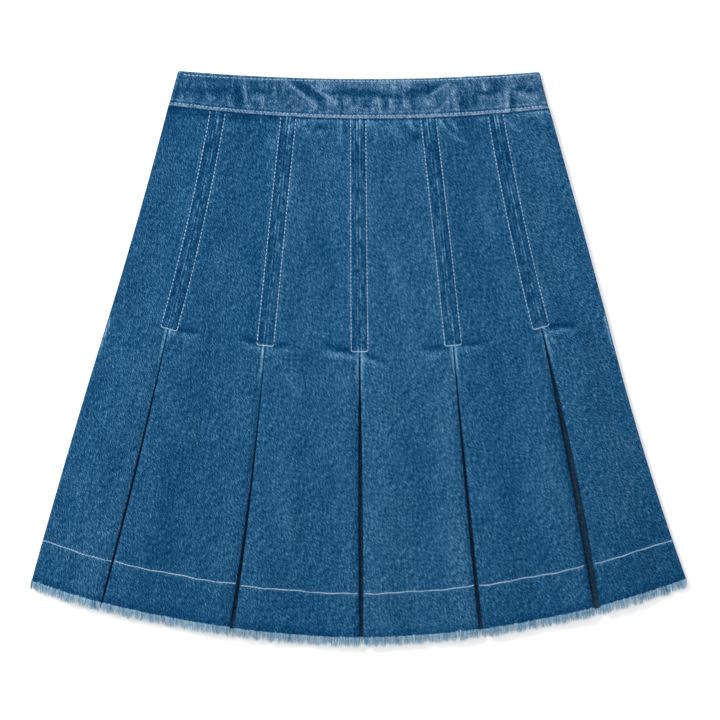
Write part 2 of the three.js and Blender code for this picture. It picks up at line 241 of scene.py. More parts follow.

# %% [markdown]
# ## Creases, placed one by one
#
# Denim this heavy doesn't drape in small folds. It shows a groove at each row of stitches, puckers where
# thread pulls on the layers, a soft roll along every released fold, and a dent with a swell under it at
# each corner where a pleat is let go. Simulation would blur these, so they are placed one by one. The tables
# hold where each one is and how strong, as uneven as on the real skirt, and beside them how light wear has
# left each slit's edges and each panel, and how dark a painted shade makes the left edge of each slit.

# %% Tables of dents, creases and tones
STITCH_ROW = (6.8, 7.5)                  # from the seam to each row of stitches, at the waist and the release
RELEASE_DENTS = {                        # (pleat, side of it): strength, slant, dent_at, swell_at, reach
    (1, "left"): (0.25, -0.10, -1.0, 4.0, 16.0), (1, "right"): (1.0, 0.00, 0.0, 4.0, 26.0),
    (2, "left"): (1.0, -0.37, -0.5, 3.6, 18.0), (2, "right"): (0.9, -0.20, 0.6, 3.6, 20.0),
    (3, "left"): (1.1, -0.19, -1.0, 4.8, 30.0), (3, "right"): (1.1, 0.45, 3.6, 7.5, 24.0),
    (4, "left"): (0.6, -0.05, 1.0, 8.0, 30.0), (4, "right"): (1.0, 0.00, 0.0, 3.0, 24.0),
    (5, "left"): (0.4, 0.05, 2.0, 8.0, 14.0), (5, "right"): (1.3, 0.10, 0.8, 5.2, 28.0),
}
NOT_RUBBED = (0, 1)                      # no light, over a reach of 1 mm
EDGE_LIGHT = {                           # (pleat, side of it): how light its edge is rubbed, how far down
    (1, "left"): (1.0, 44.0), (1, "right"): (1.1, 18.0), (2, "left"): (1.3, 44.0), (2, "right"): (0.5, 18.0),
    (3, "left"): (1.0, 46.0), (3, "right"): (1.2, 42.0), (4, "left"): (1.0, 38.0), (4, "right"): (1.3, 46.0),
    (5, "left"): (0.5, 36.0), (5, "right"): (1.2, 46.0),
}
# painted shade: how dark each slit's left edge is painted where it rolls under
ROLLED_EDGE_SHADE = {1: 0.2, 2: 0.7, 3: 1.0, 4: 1.0, 5: 1.0}     # how dark each slit's left edge rolls under
CREASE_COLUMNS = ("x0", "y0", "x1", "y1", "wide", "high")
FRONT_CREASES = [dict(zip(CREASE_COLUMNS, row)) for row in [
    # left of the second pleat and in the third gore, just under the band
    (-89.4, 217.4, -85.3, 212.4, 1.4, 0.50), (-83.5, 210.2, -73.6, 212.0, 2.5, 0.40),
    (-78.1, 201.2, -79.9, 189.5, 4.5, 0.35), (-52.9, 215.5, -50.2, 210.2, 4.0, 0.45),
    (-49.3, 208.4, -41.2, 201.2, 1.5, 0.50), (-40.3, 216.5, -39.4, 211.1, 1.5, 0.50),
    (-37.6, 206.6, -31.3, 200.3, 1.3, 0.50), (-34.0, 210.2, -33.1, 207.5, 3.0, -0.40),
    (-31.3, 216.5, -30.9, 211.1, 2.0, 0.35), (-16.9, 215.6, -16.0, 191.3, 2.6, 0.40),
    (-12.0, 209.3, -11.5, 204.8, 2.2, -0.45),
    # the fourth gore, just under the band
    (6.5, 212.0, 14.6, 212.0, 3.0, 0.50), (18.2, 216.0, 21.8, 204.8, 1.4, 0.50),
    (15.5, 204.8, 15.5, 194.9, 1.6, 0.35), (26.3, 209.3, 38.9, 202.1, 4.0, 0.35),
    (33.5, 216.5, 34.4, 211.9, 1.3, 0.50), (42.5, 216.0, 50.6, 205.9, 1.6, 0.80),
    (50.6, 203.9, 53.3, 197.5, 4.0, -0.50),
    # the fifth and sixth gores, just under the band
    (81.6, 216.0, 89.3, 205.9, 1.4, 0.90), (74.6, 211.9, 88.4, 199.0, 1.5, 0.85),
    (88.4, 199.0, 96.5, 194.9, 1.5, 0.50), (73.1, 215.5, 74.9, 209.2, 3.0, 0.60),
    (79.4, 210.2, 86.6, 201.2, 1.6, -0.55), (106.4, 215.5, 115.4, 215.5, 2.5, 0.45),
    (132.5, 216.0, 143.3, 205.6, 1.4, 0.60), (150.5, 221.4, 170.3, 222.4, 2.0, 0.50),
    (158.6, 220.0, 168.5, 212.0, 1.6, 0.40),
    # beside the fifth pleat's release
    (166.0, 25.6, 173.2, 22.9, 1.4, -0.50), (168.7, 22.9, 177.7, 13.9, 2.0, 0.50),
    # soft waves in the panels
    (-64.0, -14.0, -54.0, -32.0, 2.6, 0.20), (112.0, 148.0, 118.0, 118.0, 5.0, 0.12),
    (-36.0, 120.0, -22.0, 60.0, 7.0, -0.14), (30.0, 100.0, 44.0, 52.0, 8.0, 0.12),
    (-118.0, 110.0, -132.0, 62.0, 7.0, 0.13), (176.0, 60.0, 190.0, 20.0, 7.0, -0.12),
    (-60.0, -90.0, -70.0, -170.0, 9.0, 0.12), (48.0, -70.0, 60.0, -150.0, 9.0, -0.14),
    (150.0, -60.0, 166.0, -150.0, 10.0, 0.13), (-205.0, -50.0, -232.0, -140.0, 10.0, -0.12),
    (222.0, -40.0, 246.0, -130.0, 10.0, 0.12), (-168.0, -110.0, -176.0, -180.0, 9.0, -0.12),
]]
PANEL_TONES = [                          # how light the wash left each gore, at its top and at its hem
    (-0.40, -0.15), (-0.45, -0.6), (0.2, -0.55), (0.1, 0.15), (-0.3, -0.5), (0.2, -0.7),
]
UNDER_BAND = np.array([                  # x, and how light the cloth just under the band is rubbed there
    (-171, -1.2), (-80, -1.0), (-50, 1.1), (0, 0.9), (45, 1.1), (80, 0.5), (120, 0.9), (171, 1.3),
]).T
BACK_RELIEF = 0.35                       # the most that the back can rise from the table it lies on
BACK_CREASES = [dict(crease, x0=-crease["x0"], x1=-crease["x1"], high=0.5 * abs(crease["high"]))
                for crease in FRONT_CREASES[::2]]
print("creases placed by hand on the front gores:", len(FRONT_CREASES))

# %% [markdown]
# ### Relief as formulas
#
# Each mark is a short formula whose cross section is a bell curve or an S curve, in mm above or below the
# plain height. `off` is the distance sideways from a seam or a fold, and `past` the distance below the
# end of its stitching, negative above it. The parts are simply added up.

# %% Creases, sewn lanes, dents and rolled folds
def crease_relief(creases, x, y):
    """Each crease is high * exp(-(distance / wide)^2) off its line, fading out at the line's two ends."""
    relief = np.zeros(np.broadcast(x, y).shape)
    for crease in creases:
        run_x, run_y = crease["x1"] - crease["x0"], crease["y1"] - crease["y0"]
        length = np.hypot(run_x, run_y)
        along = ((x - crease["x0"]) * run_x + (y - crease["y0"]) * run_y) / length
        off = ((x - crease["x0"]) * run_y - (y - crease["y0"]) * run_x) / length
        ends = smooth(-0.3 * length, 0.3 * length, along) * (1 - smooth(0.7 * length, 1.3 * length, along))
        relief += crease["high"] * ends * np.exp(-((off / crease["wide"]) ** 2))
    return relief


LANE_HIGH, ROW_DEEP, PUCKER_HIGH = 0.38, 0.34, 0.10     # mm, of the lane, its grooves and its puckers
DENT_DEEP, SWELL_HIGH = 0.62, 0.50                      # mm, at a release of strength 1


def lane_relief(off, past, stitch_row):
    """The sewn seam: a groove on it, a raised lane of allowances with puckers, a groove at each row."""
    sewn = 1 - smooth(-1.5, 1.0, past)
    lane = LANE_HIGH * smooth(0.4, 1.7, off) * (1 - smooth(6.2, 9.5, off))
    waves = np.sin(past * 0.71 + 1.3 * off) * np.sin(past * 0.29 + 0.4)
    pucker = PUCKER_HIGH * waves * (1 - smooth(6.5, 12, off))
    row = -ROW_DEEP * np.exp(-(((off - stitch_row) / 0.8) ** 2))
    return sewn * (lane + row + pucker * smooth(0.6, 2.0, off))


def release_relief(off, past, strength, slant, dent_at, swell_at, reach):
    """Beside the end of the stitching a dent, and below it a swell, both fading sideways."""
    ends = 1 - smooth(0.45 * reach, reach, off - STITCH_ROW[1])
    drift = slant * (off - STITCH_ROW[1])
    dent = -DENT_DEEP * smooth(4.0, 8.0, off) * np.exp(-(((past - dent_at - drift) / 2.4) ** 2))
    swell = SWELL_HIGH * smooth(0.8, 6.0, off) * np.exp(-(((past - swell_at - 0.6 * drift) / 3.0) ** 2))
    return strength * ends * (dent + swell)


def fold_relief(off, past, crown, roll):
    """Below the release the cloth rolls up from the fold to a crown and sinks again over the pleat."""
    opened = smooth(2.0, 28.0, past)
    return opened * crown * (smooth(0.3, roll, off) - smooth(15.0, 34.0, off))


probe = lane_relief(np.array([0.0, 4.0, STITCH_ROW[0]]), -100.0, STITCH_ROW[0])
print("a sewn lane at its seam, its middle and its stitches, in mm:", probe.round(2))

# %% [markdown]
# ### A gore's whole relief
#
# The sharp dents and creases are kept apart from the rest, because the colour needs them once more: what
# stands proud is rubbed light in the wash and painted lighter, and what is pressed in stays dark with painted
# shade.

# %% The relief of the outer layers
def crease_marks(side, gore, x, y, down):
    """The sharp dents and creases of a gore's outer layer, in mm."""
    length = parabola(WAIST_SEAM, x) - parabola(RAW_HEM, x)
    marks = crease_relief(FRONT_CREASES if side == "front" else BACK_CREASES, x, y)
    for number, hand, toward in ((gore, "right", 1), (gore + 1, "left", -1)):
        line = LINES[number]
        if line["kind"] == "pleat":
            off = np.maximum(toward * (x - line_x(line, down)), 0)
            past = (down - line["released"]) * length
            marks = marks + release_relief(off, past, *RELEASE_DENTS[number, hand])
    return marks


def gore_relief(side, gore, x, y, down):
    """All that lies on the plain height of a gore's outer layer, in mm."""
    length = parabola(WAIST_SEAM, x) - parabola(RAW_HEM, x)
    below_waist = down * length
    relief = 0.12 * np.sin(x * 0.083 + 0.031 * y) * np.sin(y * 0.047 + 0.8 + gore)
    relief = relief + 0.10 * np.sin(x * 0.19 - 0.05 * y + 2 * gore) * np.sin(0.021 * y + 0.06 * x)
    for number, toward, crown, roll in ((gore, 1, 0.9, 4.5), (gore + 1, -1, 1.3, 8.0)):
        line = LINES[number]
        past = (down - line["released"]) * length
        off = np.maximum(toward * (x - line_x(line, down)) - opening(line, down) / 2, 0)
        if line["kind"] == "side":
            relief = relief * smooth(0.5, 14, off)
            continue
        relief = relief * smooth(0.5, 9, off) + lane_relief(off, past, mix(*STITCH_ROW, down / STITCHED_TO))
        relief = relief + fold_relief(off, past, crown, roll)
    marks = crease_marks(side, gore, x, y, down)
    if side == "back":
        return np.clip(0.35 * relief + 0.6 * marks, 0, BACK_RELIEF)
    waist = np.exp(-below_waist / 9.0) * (0.22 * np.sin(x * 0.83 + 1.7 * np.sin(x * 0.11)) + 0.15)
    tucked = -0.9 * np.exp(-((below_waist / 1.3) ** 2))
    return relief + waist + tucked + marks


def surface_height(side, gore, x, y):
    """Height of the cloth's outer face at a point in plan."""
    down = share_down(side, gore, x, y)
    middle = outer_height(side, gore, x, down)
    relief = gore_relief(side, gore, x, y, down)
    return middle + relief + CLOTH / 2 if side == "front" else middle + relief - CLOTH / 2


probe = gore_relief("front", 2, np.linspace(-70, -2, 7), np.full(7, 0.0), np.full(7, 0.47))
print("relief across front gore 3 at the release, in mm:", probe.round(2))

# %% [markdown]
# ## From a grid to a closed shell of cloth
#
# A piece of cloth has two faces and a rim. A Solidify modifier would give them, but where the cloth is
# folded under in half a millimetre it bunches, so both faces are worked out here. Every point of the
# middle surface comes with the direction of the cloth's face there, and the two faces lie half a
# thickness away on either side. The wrong side gets a material of its own, as real denim has pale weft
# showing there.

# %% Closed shells from grids
def put_mesh(name, points, corners, per_face, slots=None):
    """Fills a mesh from arrays: points in mm, corners with per_face numbers for each face."""
    mesh = bpy.data.meshes.new(name)
    faces = len(corners) // per_face
    mesh.vertices.add(len(points))
    mesh.vertices.foreach_set("co", (points * MM).astype(np.float32).ravel())
    mesh.loops.add(len(corners))
    mesh.loops.foreach_set("vertex_index", corners.astype(np.int32))
    mesh.polygons.add(faces)
    mesh.polygons.foreach_set("loop_start", np.arange(faces, dtype=np.int32) * per_face)
    if slots is not None:
        mesh.polygons.foreach_set("material_index", slots.astype(np.int32))
    mesh.update(calc_edges=True)
    mesh.validate()
    mesh.shade_smooth()
    piece = bpy.data.objects.new(name, mesh)
    bpy.context.scene.collection.objects.link(piece)
    return piece


def outwards(points, quads):
    """Turns all faces round where the volume inside them, the sum of a . (b x c + c x d), is negative."""
    a, b, c, d = (points[quads[:, k]] for k in range(4))
    volume = np.einsum("ij,ij->", a, np.cross(b, c) + np.cross(c, d))
    return quads[:, ::-1] if volume < 0 else quads


def shell(name, x, y, z, nx, nz, thick):
    """Two faces at plus and minus half the thickness along (nx, 0, nz), joined round the rim."""
    rows, across = np.broadcast(x, y, z).shape
    x, y, z, nx, nz, thick = (np.broadcast_to(a, (rows, across)) for a in (x, y, z, nx, nz, thick))
    points = np.concatenate([
        np.stack([x + half * thick * nx, y, z + half * thick * nz], axis=-1).reshape(-1, 3)
        for half in (0.5, -0.5)
    ])
    grid = np.arange(rows * across).reshape(rows, across)
    right_side = np.stack([grid[:-1, :-1], grid[:-1, 1:], grid[1:, 1:], grid[1:, :-1]], axis=-1)
    right_side = right_side.reshape(-1, 4)
    wrong_side = right_side[:, ::-1] + rows * across
    rim = np.concatenate([grid[0, ::-1], grid[1:, 0], grid[-1, 1:], grid[-2:0:-1, -1]])
    after = np.roll(rim, -1)
    hem = np.stack([rim, after, after + rows * across, rim + rows * across], axis=-1)
    quads = outwards(points, np.concatenate([right_side, wrong_side, hem]))
    slots = np.concatenate([np.zeros(len(right_side)), np.ones(len(wrong_side)), np.zeros(len(hem))])
    piece = put_mesh(name, points, quads.ravel(), 4, slots)
    piece.data.set_sharp_from_angle(angle=np.radians(60))
    return piece


print("a layer of cloth is", CLOTH, "mm, a folded edge", round(LAYER + CLOTH, 2), "mm high")

# %% [markdown]
# ### What a piece of cloth carries
#
# The finishes have to know where on the cloth they are: how far from a seam, a fold or the hem. Such
# distances are stored on the points as attributes. A UV map holds the flat cut, so that the weave's
# threads run as they do in the cloth, round the folds as well. The last helper joins the piece to the
# packed model.

# %% Distances, the flat cut and the place in the model
def mark(piece, name, values):
    """Stores a number for each point of the middle surface, the same on both faces, for the materials."""
    layer = piece.data.attributes.new(name, "FLOAT", "POINT")
    layer.data.foreach_set("value", np.tile(np.asarray(values, np.float32).ravel(), 2))


def lay_out(piece, across, along):
    """Gives the piece a UV map in mm of the flat cut: across and along the warp threads."""
    flat = np.tile(np.stack([across, along], axis=-1).reshape(-1, 2), (2, 1)).astype(np.float32)
    corner = np.empty(len(piece.data.loops), np.int32)
    piece.data.loops.foreach_get("vertex_index", corner)
    uv = piece.data.uv_layers.new(name="cut")
    uv.data.foreach_set("uv", flat[corner].ravel())


def go_along(piece, slot_name, *materials):
    """Rides on the skirt's one body with its materials, beside the packed nodes; slot_name is not used."""
    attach(piece, "root")
    for material in materials:
        piece.data.materials.append(material)


def dress(piece, replaced, materials):
    """Rides on the skirt's one body, stands for the packed nodes and takes its materials."""
    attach(piece, "root")
    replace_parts(piece, *replaced)
    for material in materials:
        piece.data.materials.append(material)


# %% [markdown]
# ## Materials, first as names
#
# Each finish is filled in further on, once there is something to see it on. They are created here so that
# each piece can be given its materials as it is made.

# %% Empty materials
FINISHES = ("denim", "denim_wrong_side", "denim_unworn", "denim_waistband", "topstitch_thread",
            "frayed_threads", "zip_tape", "zip_metal", "studio_floor")
finish = {name: bpy.data.materials.new(name) for name in FINISHES}
for material in finish.values():
    material.use_nodes = True
print("finishes:", ", ".join(FINISHES))

# %% [markdown]
# ## The gores
#
# A gore is one flared panel. Across, it starts at the edge that is turned under, runs round the fold,
# over the outer layer and back round the other fold. Down, it runs from the waist seam to the raw hem. So
# its surface is a function of two parameters on a grid, and not a flat sheet that is bent later. The
# columns stand close together near the seams, where grooves and puckers need them, and apart in the
# middle. At the side seams the two panels are simply pressed together.

# %% The surface of a gore
ROWS = {"front": 176, "back": 84}
NEAR_SEAM = 13.0                # mm from the fold within which the columns stand close
COLUMNS = {
    "front": dict(turned=5, fold=9, near=16, middle=24),
    "back": dict(turned=3, fold=6, near=7, middle=8),
}
FOLD_RADIUS = LAYER / 2
FOLD_REACH = FOLD_RADIUS + CLOTH / 2       # from the outside of a fold to where the outer layer starts
PRESSED = 0.22                  # 1 is a round fold, less is squarer, as the iron and the stitches leave it
ROUNDER_BY = 0.05               # the share of the length in which a fold grows round below the hip


def slanting(x, level_to, level_from, down_left, down_right):
    """The share down along a row: level over what is turned under, straight from line to line between."""
    return mix(down_left, down_right, np.clip((x - level_to) / (level_from - level_to), 0, 1))


def columns_across(count, x_left, x_right):
    """x of the outer layer's columns: close within NEAR_SEAM of either fold, apart in the middle."""
    close, apart = np.linspace(0, 1, count["near"]), np.linspace(0, 1, count["middle"])[1:]
    left = mix(x_left + FOLD_REACH, x_left + NEAR_SEAM, close)
    middle = mix(x_left + NEAR_SEAM, x_right - NEAR_SEAM, apart)
    right = mix(x_right - NEAR_SEAM, x_right - FOLD_REACH, close[1:])
    return np.concatenate([left, middle, right], axis=1)


def turned_edge(side, x_edge, inward, under, share, height, power):
    """Round a fold and back below the outer layer, as the arrays that gore_stations names.

    The fold runs through centre - radius cos(a)^p, height - radius (1 - sin(a)^p), round where p is 1.
    """
    up, count = SIDES[side], COLUMNS[side]
    centre = x_edge + inward * FOLD_REACH
    angle = np.linspace(np.pi / 2, -np.pi / 2, count["fold"])[None, 1:]
    cosine, sine = np.cos(angle), np.sin(angle)
    bulge, rise = cosine ** power, np.sign(sine) * np.abs(sine) ** power
    face_x, face_z = cosine ** (2 - power), np.sign(sine) * np.abs(sine) ** (2 - power)
    size = np.hypot(face_x, face_z)
    run = FOLD_RADIUS * (np.pi / 2 - angle) + 0 * share
    fold = (centre - inward * FOLD_RADIUS * bulge, share + 0 * run, height - up * FOLD_RADIUS * (1 - rise),
            -inward * face_x / size, up * face_z / size, centre - inward * run, run)
    beyond = np.linspace(0, 1, count["turned"])[None, 1:] * (under - FOLD_REACH)
    flat_run = np.pi * FOLD_RADIUS + beyond
    turned = (centre + inward * beyond, share + 0 * beyond, height - up * LAYER + 0 * beyond,
              0 * beyond, 0 * beyond - up, centre - inward * flat_run, flat_run)
    return [np.concatenate(pair, axis=1) for pair in zip(fold, turned)]


def gore_stations(side, gore, row):
    """Arrays across a gore: x, share down, middle's height, direction of the face, flat x, turned under."""
    down_left, down_right = (share_on_line(LINES[number], row) for number in (gore, gore + 1))
    x_left, _, under_left, _ = gore_edges(gore, down_left)
    _, x_right, _, under_right = gore_edges(gore, down_right)
    x = columns_across(COLUMNS[side], x_left, x_right)
    down = slanting(x, x_left + under_left, x_right - under_right, down_left, down_right)
    y = cloth_y(x, down, hem_lift(side, gore, x))
    z = outer_height(side, gore, x, down) + gore_relief(side, gore, x, y, down)
    power = mix(PRESSED, 1.0, smooth(STITCHED_TO, STITCHED_TO + ROUNDER_BY, row))
    outer = (x, down, z, 0 * x, 0 * x + SIDES[side], x, 0 * x)
    left = turned_edge(side, x_left, 1, under_left, down_left, z[:, :1], power)
    right = turned_edge(side, x_right, -1, under_right, down_right, z[:, -1:], power)
    return [np.concatenate([before[:, ::-1], middle, after], axis=1)
            for before, middle, after in zip(left, outer, right)]


probe = gore_stations("front", 2, np.array([[0.0], [1.0]]))[5]
print("front gore 3, flat width at waist and hem in mm:", (probe[:, -1] - probe[:, 0]).round(1))

# %% [markdown]
# ### What the wash has to know about a gore
#
# The stones rub most where the cloth stands proud and least where it is shut in, so each point carries
# its distances from seam, fold, release, waist and hem, and what the tables say of the place. Numbers on
# the points take little memory, and the wash can be changed afterwards without a new mesh.

# %% Numbers for the wash
NO_SEAM = 200.0                 # mm, so far off that no sewn lane shows at a side seam
TUCK_LIGHT = dict(below=3.8, wide=2.2)     # where the cloth is rubbed just under the band


def mark_seams(piece, gore, x, y, down, length):
    """Distances from the nearer line and fold, how that line's slit is rubbed, and how dark a painted shade
    makes its edge where it rolls under.
    """
    lines = [LINES[gore], LINES[gore + 1]]
    offs = [np.where(line["kind"] == "side", NO_SEAM, np.abs(x - line_x(line, down))) for line in lines]
    from_left = offs[0] < offs[1]
    pasts = [(down - line["released"]) * length for line in lines]
    x_left, x_right, *_ = gore_edges(gore, down)
    rubbed = EDGE_LIGHT.get((gore, "right"), NOT_RUBBED), EDGE_LIGHT.get((gore + 1, "left"), NOT_RUBBED)
    lights = [smooth(reach, 0.2 * reach, past) * light for past, (light, reach) in zip(pasts, rubbed)]
    mark(piece, "from_seam", np.minimum(*offs))
    mark(piece, "from_fold", np.minimum(x - x_left, x_right - x))
    mark(piece, "past_release", np.where(from_left, *pasts))
    mark(piece, "rolled_edge_shade", np.where(from_left, 0.0, ROLLED_EDGE_SHADE.get(gore + 1, 0.0)))
    mark(piece, "edge_light", np.where(from_left, *lights))


def mark_panel(piece, side, gore, x, y, down, under):
    """Distances from waist and hem, the panel's tone, and the relief where the cloth shows."""
    below_waist = parabola(WAIST_SEAM, x) - y
    shows = (under < 0.5) * 1.0
    tucked = np.exp(-(((below_waist - TUCK_LIGHT["below"]) / TUCK_LIGHT["wide"]) ** 2))
    mark(piece, "above_hem", y - parabola(RAW_HEM, x) - hem_lift(side, gore, x))
    mark(piece, "below_waist", below_waist)
    mark(piece, "turned", under)
    mark(piece, "panel_tone", mix(*PANEL_TONES[gore], down))
    mark(piece, "under_band", np.interp(x, *UNDER_BAND) * tucked * shows)
    mark(piece, "relief", gore_relief(side, gore, x, y, down) * shows)
    mark(piece, "creased", crease_marks(side, gore, x, y, down) * shows)


print("most light under the band:", UNDER_BAND[1].max(), "least:", UNDER_BAND[1].min())

# %% [markdown] ### Making the gores  In the cut, the warp threads run down the middle of a gore, which
# leans more the nearer it is to a side. So the flat cut is turned by that lean before it becomes the UV
# map.

# %% Gores as folded shells
CUT_APART = 400.0               # mm between the gores' cuts in the UV map, so that no two are worn alike


def make_gore(side, gore):
    """The shell of a gore with its flat cut, its numbers for the wash and its finish."""
    row = np.linspace(0, 1, ROWS[side])[:, None]
    x, down, z, nx, nz, flat_x, under = gore_stations(side, gore, row)
    y = cloth_y(x, down, hem_lift(side, gore, x))
    piece = shell(f"{side}_gore_{gore + 1}_cloth", x, y, z, nx, nz, CLOTH)
    top, foot = ((line_x(LINES[gore], d) + line_x(LINES[gore + 1], d)) / 2 for d in (0.0, 1.0))
    lean = np.arctan2(foot - top, parabola(WAIST_SEAM, top) - parabola(RAW_HEM, foot))
    lay_out(piece, (flat_x - top) * np.cos(lean) + y * np.sin(lean) + CUT_APART * gore,
            y * np.cos(lean) - (flat_x - top) * np.sin(lean))
    length = parabola(WAIST_SEAM, x) - parabola(RAW_HEM, x)
    mark_seams(piece, gore, x, y, down, length)
    mark_panel(piece, side, gore, x, y, down, under)
    dress(piece, [f"{side}_gore_{gore + 1}"], [finish["denim"], finish["denim_wrong_side"]])
    return piece


gore_cloth = {(side, gore): make_gore(side, gore) for side in SIDES for gore in GORES}
for (side, gore), piece in gore_cloth.items():
    print(piece.name, len(piece.data.polygons), "faces")

# %% [markdown]
# ## The strips behind the pleats
#
# Through each slit one sees the underlay, a strip sewn to the edges of the two pleat extensions. The wash
# hardly reaches it, so it stays dark, and painted shade darkens it further for the shade inside the slits.
# A plane would do for what shows, but a shell with both faces can be seen from the hem as well, so it is
# a flat shell in the layer below.

# %% Underlays
UNDERLAY_FROM = STITCHED_TO - 0.012     # it reaches up behind the last stitches, so no slit is empty
UNDERLAY_SAG = 0.25                     # mm between the two extensions, where nothing lies under it
UNDERLAY_CUTS_AT, UNDERLAY_APART = 3000.0, 200.0     # mm, the places of their cuts in the UV map


def make_underlay(side, number):
    """A strip as wide as the opening and the two extensions, two layers under the outer one."""
    line = LINES[number]
    down = share_on_line(line, np.linspace(UNDERLAY_FROM, 1, 62)[:, None])
    half = opening(line, down) / 2 + turned_under(line, down)
    q = np.linspace(-1, 1, 25)[None, :]
    x = line_x(line, down) + half * q
    y = cloth_y(x, down, BACK_HEM_LIFT)
    if side == "front":
        sag = UNDERLAY_SAG * (1 - q * q) * (1 + 0.5 * np.sin(0.06 * y))
        z = front_height_at(line, down) - 2 * LAYER - sag
    else:
        z = SOLID_CLOTH / 2 + 2 * LAYER + 0 * x
    piece = shell(f"{side}_underlay_{number}_cloth", x, y, z, 0.0, float(SIDES[side]), CLOTH)
    lay_out(piece, x - line_x(line, down) + UNDERLAY_CUTS_AT + UNDERLAY_APART * number, y)
    mark(piece, "above_hem", y - parabola(RAW_HEM, x) - BACK_HEM_LIFT)
    dress(piece, [f"{side}_underlay_{number}"],
          [finish["denim_unworn"], finish["denim_wrong_side"]])
    length = parabola(WAIST_SEAM, x) - parabola(RAW_HEM, x)
    return piece


underlays = {(side, number): make_underlay(side, number) for side in SIDES for number in PLEATS}

# %% [markdown]
# ## The waistband
#
# The band is one strip doubled over, so its top is a fold and its lower edge a pressed turning with a
# bead. It runs from the zip round both sides. Wear makes a band rope: the two thicknesses creep against
# each other and set in slanting waves, sharpest left of the middle here. Noise would give waves anywhere,
# so they are placed one by one too, as rows of the same kind as the creases of the gores.

# %% Tables of the waistband
SOLID_BAND = 3.0                # the band's thickness in the solids
BAND_CLOTH = 2.75               # its thickness here, two layers and what is turned in
BAND_ROWS, BAND_FRONT, BAND_TURN, BAND_BACK = 34, 230, 10, 60     # points up, on the front, a side, the back
BAND_FOOT = -0.15               # how far the foot reaches over the upper edges of the gores, so no gap shows
BAND_ROW_UP = 2.65              # from the band's foot to its lower row of stitches
BAND_CREASES = [dict(zip(CREASE_COLUMNS, row)) for row in [
    # the deep slanting wave left of the middle, between its two ridges
    (-58.5, 250.0, -33.5, 234.2, 2.8, -1.35), (-66.0, 250.0, -45.5, 234.0, 1.5, 0.90),
    (-41.5, 244.2, -24.0, 233.7, 1.3, 1.20), (-38.0, 248.0, -26.0, 244.0, 3.2, 0.65),
    # the hollow that runs on along the middle, and the light patches above it
    (-23.0, 241.0, 19.0, 238.5, 3.4, -0.85), (17.0, 237.5, 41.0, 236.5, 2.2, -0.60),
    (41.0, 238.5, 70.0, 244.5, 3.4, -0.80), (19.0, 250.0, 22.0, 243.0, 4.0, 0.50),
    (30.0, 248.5, 32.0, 242.5, 3.0, 0.50), (39.0, 251.0, 46.0, 244.0, 4.0, 0.50),
    (35.0, 242.5, 41.0, 236.0, 1.2, 0.50),
    # upright bars in the lower half, light and dark in turn
    (-35.0, 233.5, -33.0, 224.5, 2.6, -0.45), (-46.0, 233.5, -37.0, 225.5, 3.4, 0.60),
    (-30.0, 232.5, -18.0, 230.0, 4.0, 0.60), (-16.0, 235.0, -15.5, 225.5, 1.2, -0.45),
    (-13.5, 235.0, -7.0, 232.5, 3.4, 0.50), (-4.5, 234.5, -3.0, 226.5, 2.2, -0.35),
    (-10.0, 226.0, 3.0, 226.0, 1.8, 0.40), (6.0, 233.5, 7.0, 226.5, 2.8, -0.40),
    (12.0, 234.5, 18.0, 232.5, 3.0, 0.50), (18.0, 237.0, 19.0, 224.5, 1.5, 0.60),
    (23.5, 236.0, 24.5, 224.5, 1.5, -0.45), (29.0, 235.0, 30.5, 224.5, 2.3, 0.75),
    (35.0, 234.5, 35.0, 224.5, 1.9, -0.45), (41.0, 235.0, 42.5, 224.5, 2.3, 0.75),
    (47.5, 237.0, 49.5, 224.5, 2.4, -0.45),
    # the right end
    (60.0, 235.0, 66.0, 226.0, 4.8, 0.50), (64.0, 238.0, 81.0, 248.0, 1.5, 0.55),
    (79.0, 248.0, 80.0, 239.0, 2.3, 0.50), (84.0, 242.5, 89.0, 223.0, 1.6, 0.85),
    (78.5, 233.5, 80.0, 224.5, 2.8, 0.40), (94.5, 237.0, 94.5, 224.5, 3.2, -0.65),
    (96.5, 251.5, 97.5, 242.5, 2.3, 0.40), (105.0, 244.0, 102.0, 226.0, 2.8, -0.30),
    (109.0, 240.0, 121.0, 239.0, 1.5, -0.75), (107.0, 236.0, 118.0, 235.0, 2.0, 0.35),
    (111.0, 251.5, 114.5, 240.5, 1.8, 0.60), (122.5, 251.5, 123.5, 240.5, 4.2, -0.55),
    (127.0, 237.0, 130.0, 226.0, 2.8, 0.30), (133.0, 244.0, 134.0, 224.5, 2.3, 0.80),
    (138.5, 240.5, 138.5, 223.0, 2.6, -0.70), (137.0, 254.0, 140.5, 245.0, 1.3, 0.60),
    (143.0, 246.0, 159.0, 241.0, 3.4, -0.65), (145.0, 238.0, 160.0, 236.0, 3.8, 0.60),
    # the left end, quieter
    (-103.5, 252.0, -100.5, 226.5, 1.4, 1.00), (-109.0, 246.0, -107.0, 228.0, 4.2, -0.55),
    (-98.0, 241.5, -76.0, 240.0, 2.4, -0.40), (-94.0, 236.0, -84.0, 235.0, 3.4, 0.50),
    (-87.0, 233.5, -85.5, 226.0, 2.0, 0.40), (-75.5, 250.0, -77.0, 228.0, 1.5, 0.45),
    (-118.0, 238.0, -115.0, 227.0, 1.9, 0.35), (-157.0, 243.5, -114.0, 241.0, 3.6, -0.40),
    (-138.5, 250.0, -133.0, 230.0, 1.5, 0.50), (-155.0, 242.5, -150.0, 231.0, 1.5, 0.60),
    (-160.0, 239.0, -161.0, 231.0, 2.1, 0.50), (-149.0, 252.5, -148.0, 242.5, 1.3, 0.35),
]]
BAND_LIGHT = np.array([                  # x, and how light handling has left the band there
    (-170, -0.4), (-110, -0.3), (-55, 0.4), (0, 1.0), (55, 0.9), (90, 0.4), (135, 1.0), (170, 1.2),
]).T
print("waves and creases placed by hand on the band:", len(BAND_CREASES))

